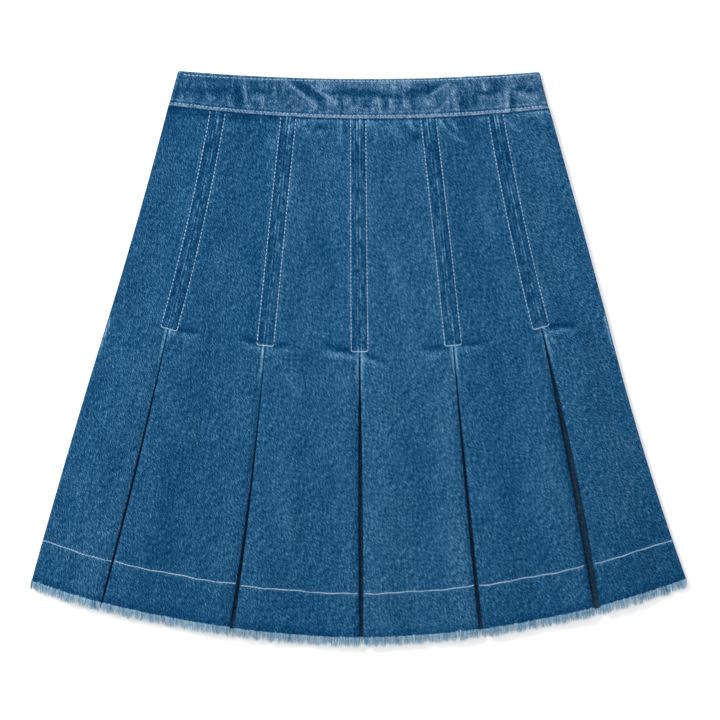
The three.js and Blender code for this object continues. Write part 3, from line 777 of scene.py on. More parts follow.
# %% [markdown]
# ### The band's form
#
# Up the band a point is given by a share of its depth, and along it by x. Its relief is one function
# again, because the rows of stitches have to lie in the same grooves and waves as the cloth.

# %% The relief of the waistband
TOP_ROW_DOWN = (2.2, 3.2)       # mm from the band's top to its upper row, at the right and at the left end
ROPE_HIGH, WAVE_HIGH = 0.16, 0.62          # mm of the fine roping, and of a wave of height 1 in the table
FOOT_GROOVE, TOP_GROOVE, GROOVE_WIDE = 0.30, 0.25, 0.7
BEAD = dict(high=0.30, above_foot=1.3, wide=0.9)


def band_point(x, share):
    """y of the band at a share of its depth: between the waist seam's curve and its top's curve."""
    return mix(parabola(WAIST_SEAM, x) + BAND_FOOT, parabola(BAND_TOP, x), share)


def top_row(x):
    """How far below the top the upper row runs: it strays down towards the left end."""
    return mix(*TOP_ROW_DOWN, smooth(-40, -160, x))


def band_relief(x, y, share):
    """The roping and creases, and grooves at the two rows of stitches, with a bead at the lower edge."""
    depth = parabola(BAND_TOP, x) - parabola(WAIST_SEAM, x) - BAND_FOOT
    from_foot, from_top = share * depth, (1 - share) * depth
    rope = ROPE_HIGH * np.sin(x * 0.62 + 0.35 * y + 1.4 * np.sin(x * 0.07)) * smooth(2, 9, from_foot)
    grooves = -FOOT_GROOVE * np.exp(-(((from_foot - BAND_ROW_UP) / GROOVE_WIDE) ** 2))
    grooves = grooves - TOP_GROOVE * np.exp(-(((from_top - top_row(x)) / GROOVE_WIDE) ** 2))
    bead = BEAD["high"] * np.exp(-(((from_foot - BEAD["above_foot"]) / BEAD["wide"]) ** 2))
    ends = smooth(0, 4, from_foot) * smooth(0, 4, from_top)
    return (rope + WAVE_HIGH * crease_relief(BAND_CREASES, x, y)) * ends + grooves + bead


print("depth of the band at its middle in mm:", round(float(band_point(0.0, 1) - band_point(0.0, 0)), 1))

# %% [markdown]
# ### The band, all the way round
#
# The band's cross section is carried along a path that starts at the zip, runs over the back to the left
# side, turns round it, crosses the front and comes back the same way. The turns are half circles, and the
# thickness shrinks at the top and at the foot, which rounds the two edges.

# %% Waistband
ZIP_GAP = 0.4                   # half of what parts the band's two ends
BAND_LIFT = 0.1                 # mm that the band's back stands above the solid's
BAND_CUT_AT = 5000.0            # mm, the place of its cut in the UV map
EDGE_SHARE, EDGE_THINNEST = 0.045, 0.12    # the share of the depth that is rounded, and how thin it gets


def band_stations(share):
    """Arrays all the way round: x, height of the band's middle, and the direction of its face."""
    half = mix(WAIST_SEAM["half"], BAND_TOP["half"], share)
    back_z, front_z = SOLID_BAND / 2 + BAND_LIFT, SOLID_BAND * 1.5 + PARTING
    radius = (front_z - back_z) / 2
    turn_x = half - radius - BAND_CLOTH / 2
    angle = np.linspace(-np.pi / 2, np.pi / 2, BAND_TURN)[None, 1:-1]
    across = np.linspace(-1, 1, BAND_FRONT)[None, :] * turn_x
    lift = GAPE["middle"] * np.clip(1 - (across / turn_x) ** 2, 0, 1)
    relief = band_relief(across, band_point(across, share), share) * smooth(0, 10, turn_x - np.abs(across))
    level = 0 * share
    back = mix(-ZIP_GAP + level, -turn_x, np.linspace(0, 1, BAND_BACK)[None, :])
    left = (-turn_x - radius * np.cos(angle), back_z + radius * (1 + np.sin(angle)) + level,
            -np.cos(angle) + level, np.sin(angle) + level)
    parts = [
        (back, back_z + 0 * back, 0 * back, 0 * back - 1),
        left,
        (across, front_z + lift + relief, 0 * across, 0 * across + 1),
        (-left[0][:, ::-1], left[1][:, ::-1], -left[2][:, ::-1], left[3][:, ::-1]),
        (-back[:, ::-1], back_z + 0 * back, 0 * back, 0 * back - 1),
    ]
    return [np.concatenate(arrays, axis=1) for arrays in zip(*parts)]


def make_waistband():
    """The band's shell with its flat cut, its numbers for the wash and its finish."""
    share = np.linspace(0, 1, BAND_ROWS)[:, None]
    within = (1 - np.minimum(share, 1 - share) / EDGE_SHARE).clip(0, 1)
    rounding = np.sqrt(np.clip(1 - within ** 2, EDGE_THINNEST, 1))
    x, z, nx, nz = band_stations(share)
    y = band_point(x, share)
    piece = shell("waistband_cloth", x, y, z, nx, nz, BAND_CLOTH * rounding)
    step = np.hypot(np.diff(x, axis=1), np.diff(z, axis=1)).mean(axis=0)
    along = np.concatenate([[0.0], np.cumsum(step)])[None, :] + 0 * share
    depth = parabola(BAND_TOP, x) - parabola(WAIST_SEAM, x)
    lay_out(piece, along - along.mean(), y + BAND_CUT_AT)
    mark(piece, "from_foot", share * depth)
    mark(piece, "from_top", (1 - share) * depth)
    mark(piece, "creased", crease_relief(BAND_CREASES, x, y) * (nz > 0.99))
    mark(piece, "handled", np.interp(x, *BAND_LIGHT) + 0 * share)
    dress(piece, ["waistband"], [finish["denim_waistband"], finish["denim_wrong_side"]])
    print("waistband laid round:", round(float(along.max())), "mm, depth", round(float(depth.mean()), 1))


make_waistband()

# %% [markdown]
# ## Topstitching
#
# A topstitch is a short length of thick thread that lies on the cloth and dives through it at both ends.
# Seen close it is a small rounded bar. A texture of dashes would look flat in slanting light, so each
# stitch is a mesh: a tube round a short axis, thin at its ends. It has a few faces only, and all stitches
# of a row are worked out at once as one joined mesh, so that thousands of them stay light.

# %% A stitch
STITCH_PITCH = 3.5              # mm from stitch to stitch
STITCH = dict(long=2.5, wide=0.95, high=0.55)
BAR_RINGS = np.array([-1.0, -0.72, 0.0, 0.72, 1.0])           # where the rings stand along half the bar
BAR_THICKNESS = np.array([0.35, 0.9, 1.0, 0.9, 0.35])         # and the share of its thickness there
BAR_SIDES = 6


def even_path(points, pitch):
    """Resamples a path of points at even distances, half a pitch in from its start."""
    run = np.concatenate([[0.0], np.cumsum(np.linalg.norm(np.diff(points, axis=0), axis=1))])
    at = np.arange(pitch / 2, run[-1], pitch)
    before, here, after = (np.stack([np.interp(at + shift, run, points[:, k]) for k in range(3)], axis=-1)
                           for shift in (-0.1, 0.0, 0.1))
    return here, after - before


def unit(vectors):
    """Each vector divided by its own length."""
    return vectors / np.linalg.norm(vectors, axis=-1, keepdims=True)


def tube_walls(points):
    """Numbers the corners of many tubes, tube by ring by side, and gives the quads of their walls."""
    grid = np.arange(points[..., 0].size).reshape(points.shape[:-1])
    beside = np.roll(grid, -1, axis=2)
    walls = np.stack([grid[:, :-1], beside[:, :-1], beside[:, 1:], grid[:, 1:]], axis=-1)
    return grid, walls.reshape(-1, 4)


def bars(centres, runs, up, long, wide, high):
    """Tubes centre + run * s * long / 2 + thickness(s) * (side cos a * wide / 2 + up sin a * high)."""
    along = unit(runs)
    side = unit(np.cross(along, np.array([0.0, 0.0, up])))
    rise = np.cross(side, along) * up
    rise = rise * np.where(rise[:, 2:] * up < 0, -1, 1)
    angle = np.arange(BAR_SIDES) * 2 * np.pi / BAR_SIDES
    ring = (side[:, None, None] * np.cos(angle)[None, None, :, None] * wide / 2
            + rise[:, None, None] * np.sin(angle)[None, None, :, None] * high / 2)
    axis = centres[:, None] + along[:, None] * BAR_RINGS[None, :, None] * np.reshape(long, (-1, 1, 1)) / 2
    points = axis[:, :, None] + ring * BAR_THICKNESS[None, :, None, None]
    grid, walls = tube_walls(points)
    caps = [np.stack([ring[:, k], ring[:, k + 1], ring[:, BAR_SIDES - 2 - k], ring[:, BAR_SIDES - 1 - k]],
                     axis=-1)[:, ::turn]
            for ring, turn in ((grid[:, 0], -1), (grid[:, -1], 1)) for k in range(BAR_SIDES // 2 - 1)]
    return points.reshape(-1, 3), np.concatenate([walls, *caps])


# %% [markdown]
# ### Sewing along a path
#
# A row of stitches needs a path on the cloth. The path is drawn in plan and lifted on to the cloth with
# the same height function that shaped it, then cut into even steps with one bar on each. A sewing machine
# isn't exact, so each bar is turned and lengthened a little at random, from a fixed seed.

# %% Sewing
STAND_OFF = 0.08                # mm that a bar's axis lies above the cloth
UNEVEN = 0.05                   # how much stitches differ in length, as a share, and in direction, in radians
MIDDLE_GORE = 2                 # its length tells well enough between which lines a point lies


def sew(name, rows, up=1, pitch=STITCH_PITCH, long=STITCH["long"], wide=STITCH["wide"],
        high=STITCH["high"], slant=0.0):
    """Sews stitches along each path of rows and joins them in one piece, every stitch a little different."""
    points, quads, uneven = [], [], np.random.default_rng(len(name) + len(rows))
    start = 0
    for row in rows:
        centres, runs = even_path(row, pitch)
        turned = slant + uneven.normal(0, UNEVEN, len(runs))
        runs = np.stack([runs[:, 0] * np.cos(turned) - runs[:, 1] * np.sin(turned),
                         runs[:, 0] * np.sin(turned) + runs[:, 1] * np.cos(turned), runs[:, 2]], axis=-1)
        longs = long * uneven.normal(1, UNEVEN, len(runs))
        bar_points, bar_quads = bars(centres, runs, up, longs, wide, high)
        points.append(bar_points)
        quads.append(bar_quads + start)
        start += len(bar_points)
    points = np.concatenate(points)
    piece = put_mesh(name, points, outwards(points, np.concatenate(quads)).ravel(), 4)
    go_along(piece, "denim", finish["topstitch_thread"])
    return piece


def on_cloth(side, x, y):
    """The points of a path in plan, lifted on to the cloth they are sewn to."""
    z = np.zeros_like(x)
    down = np.clip(share_down(side, MIDDLE_GORE, x, y), 0.0005, 0.9995)
    for gore in GORES:
        left, right = (line_x(LINES[n], down) for n in (gore, gore + 1))
        inside = (x >= left) & (x < right)
        z = np.where(inside, surface_height(side, gore, x, y), z)
    return np.stack([x, y, z], axis=-1)


def raised(path, by):
    """The path moved up by a height in mm."""
    return path + np.array([0.0, 0.0, by])


probe = on_cloth("front", np.zeros(1), np.zeros(1))
print("height of the cloth at the origin in mm:", round(float(probe[0, 2]), 2))

# %% [markdown]
# ### Rows beside the pleats' seams
#
# Each seam is sewn down on both sides, and a short row with round corners closes the lane at its foot. It
# holds the seam where the pleat opens. The rows keep their distance from the seam line, square to it,
# wherever it bends.

# %% Stitches beside the seams
LANE_LENGTH = 206.0             # mm from the waist to the end of the stitching, on which the rows are drawn
LANE_CORNER = 2.2               # mm, the radius of the two corners at its foot
UNDER_THE_BAND = 0.8            # mm below the waist seam that no stitch rises above


def beside_seam(side, number, run, off):
    """Points at shares run of the seam line, from the waist down, and off mm to the right of it."""
    line = LINES[number]
    down = np.linspace(0, line["released"], 200)
    seam_x = line_x(line, down)
    seam_y = cloth_y(seam_x, down, 0)
    seam_run = np.concatenate([[0.0], np.cumsum(np.hypot(np.diff(seam_x), np.diff(seam_y)))])
    run = run * seam_run[-1]
    along = [np.interp(run + 1, seam_run, seam) - np.interp(run - 1, seam_run, seam)
             for seam in (seam_x, seam_y)]
    size = np.hypot(*along)
    x = np.interp(run, seam_run, seam_x) - off * along[1] / size
    y = np.interp(run, seam_run, seam_y) + off * along[0] / size
    return on_cloth(side, x, np.minimum(y, parabola(WAIST_SEAM, x) - UNDER_THE_BAND))


def lane_paths(side, number):
    """A row down either side of the seam, and the short row round the end of the stitching."""
    turn = np.linspace(0, np.pi / 2, 7)
    run = np.linspace(1.2, LANE_LENGTH - LANE_CORNER, 90)
    row = mix(*STITCH_ROW, run / LANE_LENGTH)
    inwards = LANE_CORNER * (1 - np.cos(turn))
    bend = np.concatenate([inwards - row[-1], row[-1] - inwards[::-1]])
    bend_run = LANE_LENGTH - LANE_CORNER * (1 - np.sin(np.concatenate([turn, turn[::-1]])))
    rows = [beside_seam(side, number, run / LANE_LENGTH, hand * row) for hand in (-1, 1)]
    return rows, [beside_seam(side, number, bend_run / LANE_LENGTH, bend)]


for side, up in SIDES.items():
    for number in PLEATS:
        rows, end = ([raised(path, up * STAND_OFF) for path in paths] for paths in lane_paths(side, number))
        sew(f"{side}_seam_stitches_{number}", rows, up=up, long=2.45)
        sew(f"{side}_release_stitches_{number}", end, up=up, pitch=1.9)

# %% [markdown]
# ## The hem's single row
#
# The raw edge would fray up to the waist if nothing stopped it. One row of longer, slanting stitches in a
# thick thread runs 40 mm above it. Sewn through one soft layer, it wanders a little and looks like a fine
# rope. The same bars make it, longer than their pitch and turned, so that each overlaps the next.

# %% Hem stitching
HEM_ROW = 40.5                  # mm above the raw hem
USUAL_LENGTH = 475.0            # mm from the waist seam to the raw hem, near enough to find the folds
FROM_FOLD = 1.2                 # mm that the row stops before a fold


def hem_row(side, gore):
    """Follows the raw hem at a fixed distance, with a slow wander, from fold to fold."""
    x_left, x_right, *_ = gore_edges(gore, np.array(1 - HEM_ROW / USUAL_LENGTH))
    x = np.linspace(x_left + FROM_FOLD, x_right - FROM_FOLD, 90)
    wander = 0.35 * np.sin(0.11 * x + gore) + 0.25 * np.sin(0.31 * x)
    y = parabola(RAW_HEM, x) + hem_lift(side, gore, x) + HEM_ROW + wander
    return np.stack([x, y, surface_height(side, gore, x, y)], axis=-1)


for side, up in SIDES.items():
    rows = [raised(hem_row(side, gore), up * STAND_OFF) for gore in GORES]
    sew(f"{side}_hem_stitches", rows, up=up, pitch=3.1, long=3.3, wide=1.05, high=0.6, slant=0.17)

# %% [markdown]
# ## The band's two rows
#
# One row runs just under the top fold, one just above the pressed lower edge. They lie in the grooves
# that the band's relief has for them, on the front and, pressed into the cloth, on the back. They are
# sewn like the rest, so they need only their two paths.

# %% Waistband stitching
BAND_ROW_ENDS = 5.0             # mm before the band's two sides
BACK_ROW_HEIGHT = 0.32          # mm above the table, pressed into the band's outer face at the back
BAND_STAND_OFF = 0.06
BAND_ROW_TURNS = LAYER + PARTING + 0.1     # mm before the band's sides at which its cloth turns down
ZIP_CLEAR = 1.5                 # mm on either side of the zip without stitches


def band_row(side, lower):
    """The lower or the upper row, at its distance from the band's foot or top, on the outer face."""
    half = (WAIST_SEAM["half"] if lower else BAND_TOP["half"]) - BAND_ROW_ENDS
    x = np.linspace(-half, half, 300)
    depth = parabola(BAND_TOP, x) - parabola(WAIST_SEAM, x) - BAND_FOOT
    share = BAND_ROW_UP / depth if lower else 1 - top_row(x) / depth
    y = band_point(x, share)
    if side == "back":
        keep = np.abs(x) > ZIP_CLEAR
        path = np.stack([x, y, 0 * x + BACK_ROW_HEIGHT], axis=-1)
        return [path[keep & (np.sign(x) == sign)] for sign in (-1, 1)]
    turn_x = mix(WAIST_SEAM["half"], BAND_TOP["half"], share) - BAND_ROW_TURNS - BAND_CLOTH / 2
    lift = GAPE["middle"] * np.clip(1 - (x / turn_x) ** 2, 0, 1)
    relief = band_relief(x, y, share) * smooth(0, 10, turn_x - np.abs(x))
    z = SOLID_BAND * 1.5 + PARTING + lift + relief + BAND_CLOTH / 2 + BAND_STAND_OFF
    return [np.stack([x, y, z], axis=-1)]


for side, up in SIDES.items():
    rows = band_row(side, lower=True) + band_row(side, lower=False)
    sew(f"{side}_waistband_stitches", rows, up=up, high=0.5)

# %% [markdown]
# ## The frayed hem
#
# Fraying takes the crosswise weft threads out of the last few millimetres, and the warp threads are left
# hanging. They are pale, because the dye of denim sits only on the warp's outside and wears off.
# Blender's own hair doesn't come along in an export, so each thread is a thin three-sided tube on a bent
# axis, and all hairs of a gore are one mesh worked out as whole arrays.

# %% Single hairs
THREADS_PER_MM = {"front": 9.0, "back": 3.0}     # the hidden back makes do with fewer
HAIR_RINGS, HAIR_SIDES = 5, 3
FRAY_LENGTH = 7.0               # mm that a usual hair hangs below the raw edge
FRAY_ROOT = 0.7                 # mm above the raw edge where a hair starts
LOCK_WIDTH = 1.0                # neighbouring hairs that hang together, in tone, length and lean
LOCKS_DIFFER = (0.10, 0.10, 0.09, 0.6)     # spread of a lock's tone, length, lean and root
HAIRS_DIFFER = dict(place=0.12, lock=0.25, long=0.09, lean=0.09, rise=0.03, bend=0.55)
HAIR_RADIUS = (0.15, 0.24)
TIP_THINS = 0.7                 # the share of its radius that a hair loses on the way to its tip
WEFT_RADIUS, WEFT_STEP = 0.26, 0.7
LOWEST = 0.3                    # mm above the table that no hair of the back starts below


def hairs(root, run, long, bend, radius):
    """Tubes along root + run s + bend s^2, radius (1 - 0.7 s^2), closed by a triangle at each end."""
    s = np.linspace(0, 1, HAIR_RINGS)[None, :, None]
    axis = root[:, None] + (run * long[:, None])[:, None] * s + bend[:, None] * s * s
    angle = np.arange(HAIR_SIDES) * 2 * np.pi / HAIR_SIDES
    ring = np.stack([np.cos(angle), 0 * angle, np.sin(angle)], axis=-1)[None, None]
    size = radius[:, None, None, None] * (1 - TIP_THINS * s[..., None] ** 2)
    points = axis[:, :, None] + ring * size
    grid, walls = tube_walls(points)
    triangles = np.concatenate([walls[:, [0, 1, 2]], walls[:, [0, 2, 3]], grid[:, 0, ::-1], grid[:, -1]])
    return points.reshape(-1, 3), triangles


def join_hairs(name, parts, tones):
    """Joins sets of hairs in one mesh with the tone of each hair on its points."""
    points, triangles, start = [], [], 0
    for hair_points, hair_triangles in parts:
        points.append(hair_points)
        triangles.append(hair_triangles + start)
        start += len(hair_points)
    piece = put_mesh(name, np.concatenate(points), np.concatenate(triangles).ravel(), 3)
    per_hair = HAIR_RINGS * HAIR_SIDES
    tone = np.repeat(np.concatenate(tones), per_hair).astype(np.float32)
    reach = np.tile(np.repeat(np.linspace(0, 1, HAIR_RINGS), HAIR_SIDES), len(tone) // per_hair)
    piece.data.attributes.new("tone", "FLOAT", "POINT").data.foreach_set("value", tone)
    piece.data.attributes.new("reach", "FLOAT", "POINT").data.foreach_set("value", reach.astype(np.float32))
    go_along(piece, "frayed_threads", finish["frayed_threads"])
    return piece


print("corners of a hair:", HAIR_RINGS * HAIR_SIDES, "hairs in a mm of front hem:", THREADS_PER_MM["front"])

# %% [markdown]
# ### The fray of a gore
#
# Evenly strewn hairs look like a brush. Real threads hang together in locks a millimetre wide, differ in
# length and lean, and start on the face of the cloth or inside it, so each lock and each hair draws its
# own numbers from a seeded generator. A few wavy weft threads still hold on at the edge of the cloth.

# %% The frayed edge
def weft(gore, side, off, phase):
    """A loose weft thread as a chain of short hairs along the raw edge."""
    x_left, x_right, *_ = gore_edges(gore, np.array(1.0))
    x = np.arange(x_left + 0.5, x_right - 0.5, WEFT_STEP)
    y = parabola(RAW_HEM, x) + hem_lift(side, gore, x) + off
    y = y + 0.32 * np.sin(x * 2.1 + phase) + 0.3 * np.sin(x * 0.83 + 2 * phase)
    on_top = 0.16 if side == "front" else 0.3
    z = surface_height(side, gore, x, y + max(-off, 0)) + on_top
    return np.stack([x, y, z], axis=-1)


def fray(side, gore):
    """All hairs of a gore's hem, with their lengths in slow clumps and their tips leaning any way."""
    uneven = np.random.default_rng(100 * (side == "back") + gore)
    x_left, x_right, *_ = gore_edges(gore, np.array(1.0))
    count = int((x_right - x_left) * THREADS_PER_MM[side])
    x = np.linspace(x_left + 0.2, x_right - 0.2, count) + uneven.normal(0, HAIRS_DIFFER["place"], count)
    lock_edge = uneven.normal(0, HAIRS_DIFFER["lock"], count)
    lock = ((x - x_left + lock_edge) / LOCK_WIDTH).clip(0).astype(int)
    locks = uneven.normal(0, LOCKS_DIFFER, (lock.max() + 1, len(LOCKS_DIFFER)))
    tone_shift, length_shift, lean_shift, root_shift = locks[lock].T
    on_top = (side == "front") & (uneven.random(count) < 0.5)
    y = parabola(RAW_HEM, x) + hem_lift(side, gore, x) + FRAY_ROOT + np.where(on_top, np.abs(root_shift), 0)
    within = np.clip(x, x_left + 1, x_right - 1)
    depth = np.where(on_top, -0.12, CLOTH / 2 + uneven.uniform(-0.35, 0.35, count))
    z = surface_height(side, gore, within, y) - SIDES[side] * depth
    clump = 0.07 * np.sin(x * 0.33 + gore) + 0.05 * np.sin(x * 0.91 + 2.0 * gore) + 0.04 * np.sin(x * 2.3)
    share = (1.0 + clump + length_shift + uneven.normal(0, HAIRS_DIFFER["long"], count)).clip(0.45, 1.25)
    long = FRAY_LENGTH * share + FRAY_ROOT
    spread = 0.16 * x / RAW_HEM["half"] + 0.10 * np.sin(x * 0.47 + gore)
    lean = spread + lean_shift + uneven.normal(0, HAIRS_DIFFER["lean"], count)
    run = unit(np.stack([lean, -np.ones(count), uneven.normal(0, HAIRS_DIFFER["rise"], count)], axis=-1))
    droop = (-1.2 if side == "front" else 0.0) * uneven.uniform(0.4, 1.2, count)
    bend = np.stack([uneven.normal(0, HAIRS_DIFFER["bend"], count), 0 * x, droop], axis=-1)
    radius = uneven.uniform(*HAIR_RADIUS, count)
    if side == "back":
        z = np.maximum(z, LOWEST)
    tone = uneven.beta(4.2, 2.7, count) + tone_shift
    parts, tones = [hairs(np.stack([x, y, z], axis=-1), run, long, bend, radius)], [tone]
    for off, phase in ((0.15, 0.3 * gore), (-0.8, 1.9 + gore), (0.85, 4.0 + gore)):
        path = weft(gore, side, off, phase)
        steps = np.diff(path, axis=0)
        size = np.linalg.norm(steps, axis=1)
        parts.append(hairs(path[:-1], unit(steps), 1.25 * size, 0 * steps, np.full(len(steps), WEFT_RADIUS)))
        tones.append(uneven.uniform(0.85, 1.2, len(steps)))
    return join_hairs(f"{side}_fringe_{gore + 1}_threads", parts, tones)


for side in SIDES:
    for gore in GORES:
        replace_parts(fray(side, gore), f"{side}_fringe_{gore + 1}")
frayed_points = len(bpy.data.objects["front_fringe_3_threads"].data.vertices)
print("hairs and short runs of weft on front gore 3:", frayed_points // (HAIR_RINGS * HAIR_SIDES))

# %% [markdown]
# ### Tufts in the slits
#
# The underlays are frayed too, and a tuft of each shows at the foot of its slit. Only the threads near
# the slit are made, since the gores hide the others.

# %% Tufts at the foot of the slits
TUFT_BESIDE = 12.0              # mm that a tuft reaches under the gores on either side of its slit
TUFT_THREADS_PER_MM = 4.5


def tuft(number):
    """Hairs of the front underlay round the foot of one slit."""
    uneven = np.random.default_rng(40 + number)
    line, foot = LINES[number], np.array(1.0)
    half = opening(line, foot) / 2 + TUFT_BESIDE
    count = int(2 * half * TUFT_THREADS_PER_MM)
    x = line_x(line, foot) + np.linspace(-half, half, count) + uneven.normal(0, 0.1, count)
    y = parabola(RAW_HEM, x) + BACK_HEM_LIFT + FRAY_ROOT
    z = front_height_at(line, foot) - 2 * LAYER + uneven.uniform(-0.3, 0.3, count)
    long = FRAY_LENGTH * (1 + uneven.normal(0, 0.1, count)).clip(0.5, 1.2)
    run = unit(np.stack([uneven.normal(0, 0.12, count), -np.ones(count), 0 * x], axis=-1))
    bend = np.stack([uneven.normal(0, 0.5, count), 0 * x, -0.8 + 0 * x], axis=-1)
    made = hairs(np.stack([x, y, z], axis=-1), run, long, bend, uneven.uniform(0.13, 0.2, count))
    return join_hairs(f"front_underlay_{number}_threads", [made], [uneven.beta(2.2, 2.2, count)])


tufts = [tuft(number) for number in PLEATS]
print("tufts:", len(tufts))

# %% [markdown]
# ## Materials as formulas
#
# A shader node works out one number at each point of a surface. Fifty of them wired one by one are hard
# to follow, so this small class lets a node's output be added to and multiplied like a number, and each
# use of `+` or `*` makes the Math node behind it. A finish then reads as the formula that it is.

# %% A number that varies over the cloth
class Field:
    """A node's output that behaves like a number."""

    def __init__(self, socket):
        self.socket, self.tree = socket, socket.id_data

    def math(self, operation, *others):
        """Adds a Math node for one operation on this number and the others."""
        made = self.tree.nodes.new("ShaderNodeMath")
        made.operation = operation
        for place, value in zip(made.inputs, (self, *others)):
            feed(place, value)
        return Field(made.outputs[0])

    # each sum, product or difference with a number or a Field makes one Math node
    def __add__(self, other):
        return self.math("ADD", other)

    def __mul__(self, other):
        return self.math("MULTIPLY", other)

    def __sub__(self, other):
        return self.math("SUBTRACT", other)

    def __rsub__(self, other):
        return self * -1 + other

    __radd__, __rmul__ = __add__, __mul__

    def rise(self, low, high):
        """An S curve from 0 at low to 1 at high, or falling where low is the larger."""
        made = self.tree.nodes.new("ShaderNodeMapRange")
        made.interpolation_type = "SMOOTHSTEP"
        made.inputs["From Min"].default_value, made.inputs["From Max"].default_value = low, high
        feed(made.inputs["Value"], self)
        return Field(made.outputs["Result"])

    def bell(self, middle, wide):
        """exp(-((number - middle) / wide)^2)."""
        off = (self - middle) * (1 / wide)
        return (off * off * -1).math("EXPONENT")


def feed(place, value):
    """Links a Field to a node's input, or types the number in."""
    if isinstance(value, Field):
        place.id_data.links.new(value.socket, place)
    else:
        place.default_value = value


print("what a Field can do:", ", ".join(name for name in vars(Field) if not name.startswith("_")))

# %% [markdown]
# ### What the formulas are made of
#
# A finish starts from numbers stored on the cloth, from noise and from the ribs of the weave. Noise and
# ribs are laid out on the flat cut, in mm, because on a folded shell they would otherwise be smeared down
# its edges. Stretching noise along the threads makes streaks of it, and leaning it makes the flecks of a
# twill.

# %% Stored numbers, noise and twill
NOISE_SPREAD = 7.0              # brings Blender's noise, bunched round its middle, to a spread of about 1
RIB_SCALE = 2 * np.pi / 20      # at this scale a wave texture has one rib in each unit
TWILL_PITCH, TWILL_LEAN = 0.78, 28.0       # mm from rib to rib, and degrees


def stored(tree, name):
    """A number that was stored on the mesh by mark()."""
    made = tree.nodes.new("ShaderNodeAttribute")
    made.attribute_name = name
    return Field(made.outputs["Fac"])


def on_cut(tree, across, along, lean, seed):
    """The flat cut in lumps of across by along mm, their tops leaning to the left by lean degrees."""
    cut = tree.nodes.new("ShaderNodeUVMap")
    cut.uv_map = "cut"
    place = tree.nodes.new("ShaderNodeMapping")
    place.vector_type = "TEXTURE"
    place.inputs["Location"].default_value = (13.7 * seed, 7.1 * seed, 0)
    place.inputs["Rotation"].default_value = (0, 0, np.radians(lean))
    place.inputs["Scale"].default_value = (across, along, 1)
    tree.links.new(cut.outputs["UV"], place.inputs["Vector"])
    return Field(place.outputs["Vector"])


def uneven_cloth(tree, across, along, lean=0.0, seed=0, detail=1.0):
    """Noise on the flat cut, about 0 in the mean and spread about 1."""
    lumps = tree.nodes.new("ShaderNodeTexNoise")
    lumps.noise_dimensions = "2D"
    feed(lumps.inputs["Vector"], on_cut(tree, across, along, lean, seed))
    lumps.inputs["Scale"].default_value, lumps.inputs["Detail"].default_value = 1.0, detail
    return (Field(lumps.outputs["Fac"]) - 0.5) * NOISE_SPREAD


def twill(tree, pitch=TWILL_PITCH, lean=TWILL_LEAN):
    """The diagonal ribs of the weave, a sine between -1 and 1 across them."""
    ribs = tree.nodes.new("ShaderNodeTexWave")
    feed(ribs.inputs["Vector"], on_cut(tree, pitch, pitch, lean, 0))
    ribs.inputs["Scale"].default_value = RIB_SCALE
    ribs.inputs["Distortion"].default_value, ribs.inputs["Detail"].default_value = 1.2, 1.0
    return Field(ribs.outputs["Fac"]) * 2 - 1


print("the ribs of the twill lie", TWILL_PITCH, "mm apart")

# %% [markdown]
# ### From a number to a finish
#
# A picked colour is what a screen shows, and a shader wants light, so each is made linear. A colour ramp
# then turns the number into a colour, which keeps light and dark within the hues that this cloth really
# has. The same steps end every finish, so one function wires them all.

# %% Colours and the shader
def linear(red, green, blue):
    """A colour picked from 0 to 255, made linear: ((c + 0.055) / 1.055)^2.4."""
    return (((np.array([red, green, blue]) / 255 + 0.055) / 1.055) ** 2.4).tolist()


def steps(field, table, gain=1.0):
    """A colour for each number, by a table of (number, picked colour); the ramp itself takes 0 to 1."""
    low, high = table[0][0], table[-1][0]
    ramp = field.tree.nodes.new("ShaderNodeValToRGB")
    feed(ramp.inputs["Fac"], (field - low) * (1 / (high - low)))
    places = [(number - low) / (high - low) for number, colour in table]
    stops = ramp.color_ramp.elements
    for place in places[1:-1]:
        stops.new(place)
    for stop, place, (number, colour) in zip(stops, places, table):
        stop.position = place
        stop.color = [light * gain for light in linear(*colour)] + [1.0]
    return Field(ramp.outputs["Color"])


def finish_with(name, colour, roughness, height, sheen=0.0, metallic=0.0, specular=0.3):
    """Wires colour, roughness and a height in mm to the finish's shader."""
    tree = finish[name].node_tree
    shader = tree.nodes["Principled BSDF"]
    bump = tree.nodes.new("ShaderNodeBump")
    bump.inputs["Distance"].default_value, bump.inputs["Strength"].default_value = MM, 1.0
    feed(bump.inputs["Height"], height)
    feed(shader.inputs["Base Color"], colour)
    feed(shader.inputs["Roughness"], roughness)
    feed(shader.inputs["Normal"], Field(bump.outputs["Normal"]))
    shader.inputs["Sheen Weight"].default_value = sheen
    shader.inputs["Sheen Roughness"].default_value = 0.6
    shader.inputs["Metallic"].default_value = metallic
    shader.inputs["Specular IOR Level"].default_value = specular
    print(name, "takes", len(tree.nodes), "nodes")


print("middle grey, picked as 128, is as light:", round(linear(128, 128, 128)[0], 3))

# %% [markdown]
# ## Washed denim
#
# Denim is a twill: dark warp threads run down the cloth, pale weft crosses behind them. Stone washing
# takes dye off whatever stands proud, so streaks along the warp, flecks along the twill and every ridge
# turn light, and what lies in a groove stays dark. A painted picture of all this would be sharp at one
# distance only. Here one number, the wear, is built up from noise and from the distances stored on the
# cloth, in units of the cloth's own everyday variation, and a table of picked colours turns it into the
# wash.

# %% The wash and the weave
WASH = [(-4, (2, 48, 88)), (-2, (6, 65, 107)), (-1, (18, 75, 116)), (0, (31, 86, 126)), (1, (45, 98, 139)),
        (2, (61, 114, 154)), (4, (94, 143, 180)), (8, (162, 200, 222))]
LIT = 0.89                      # the studio lights cloth a little brighter than the colours were picked


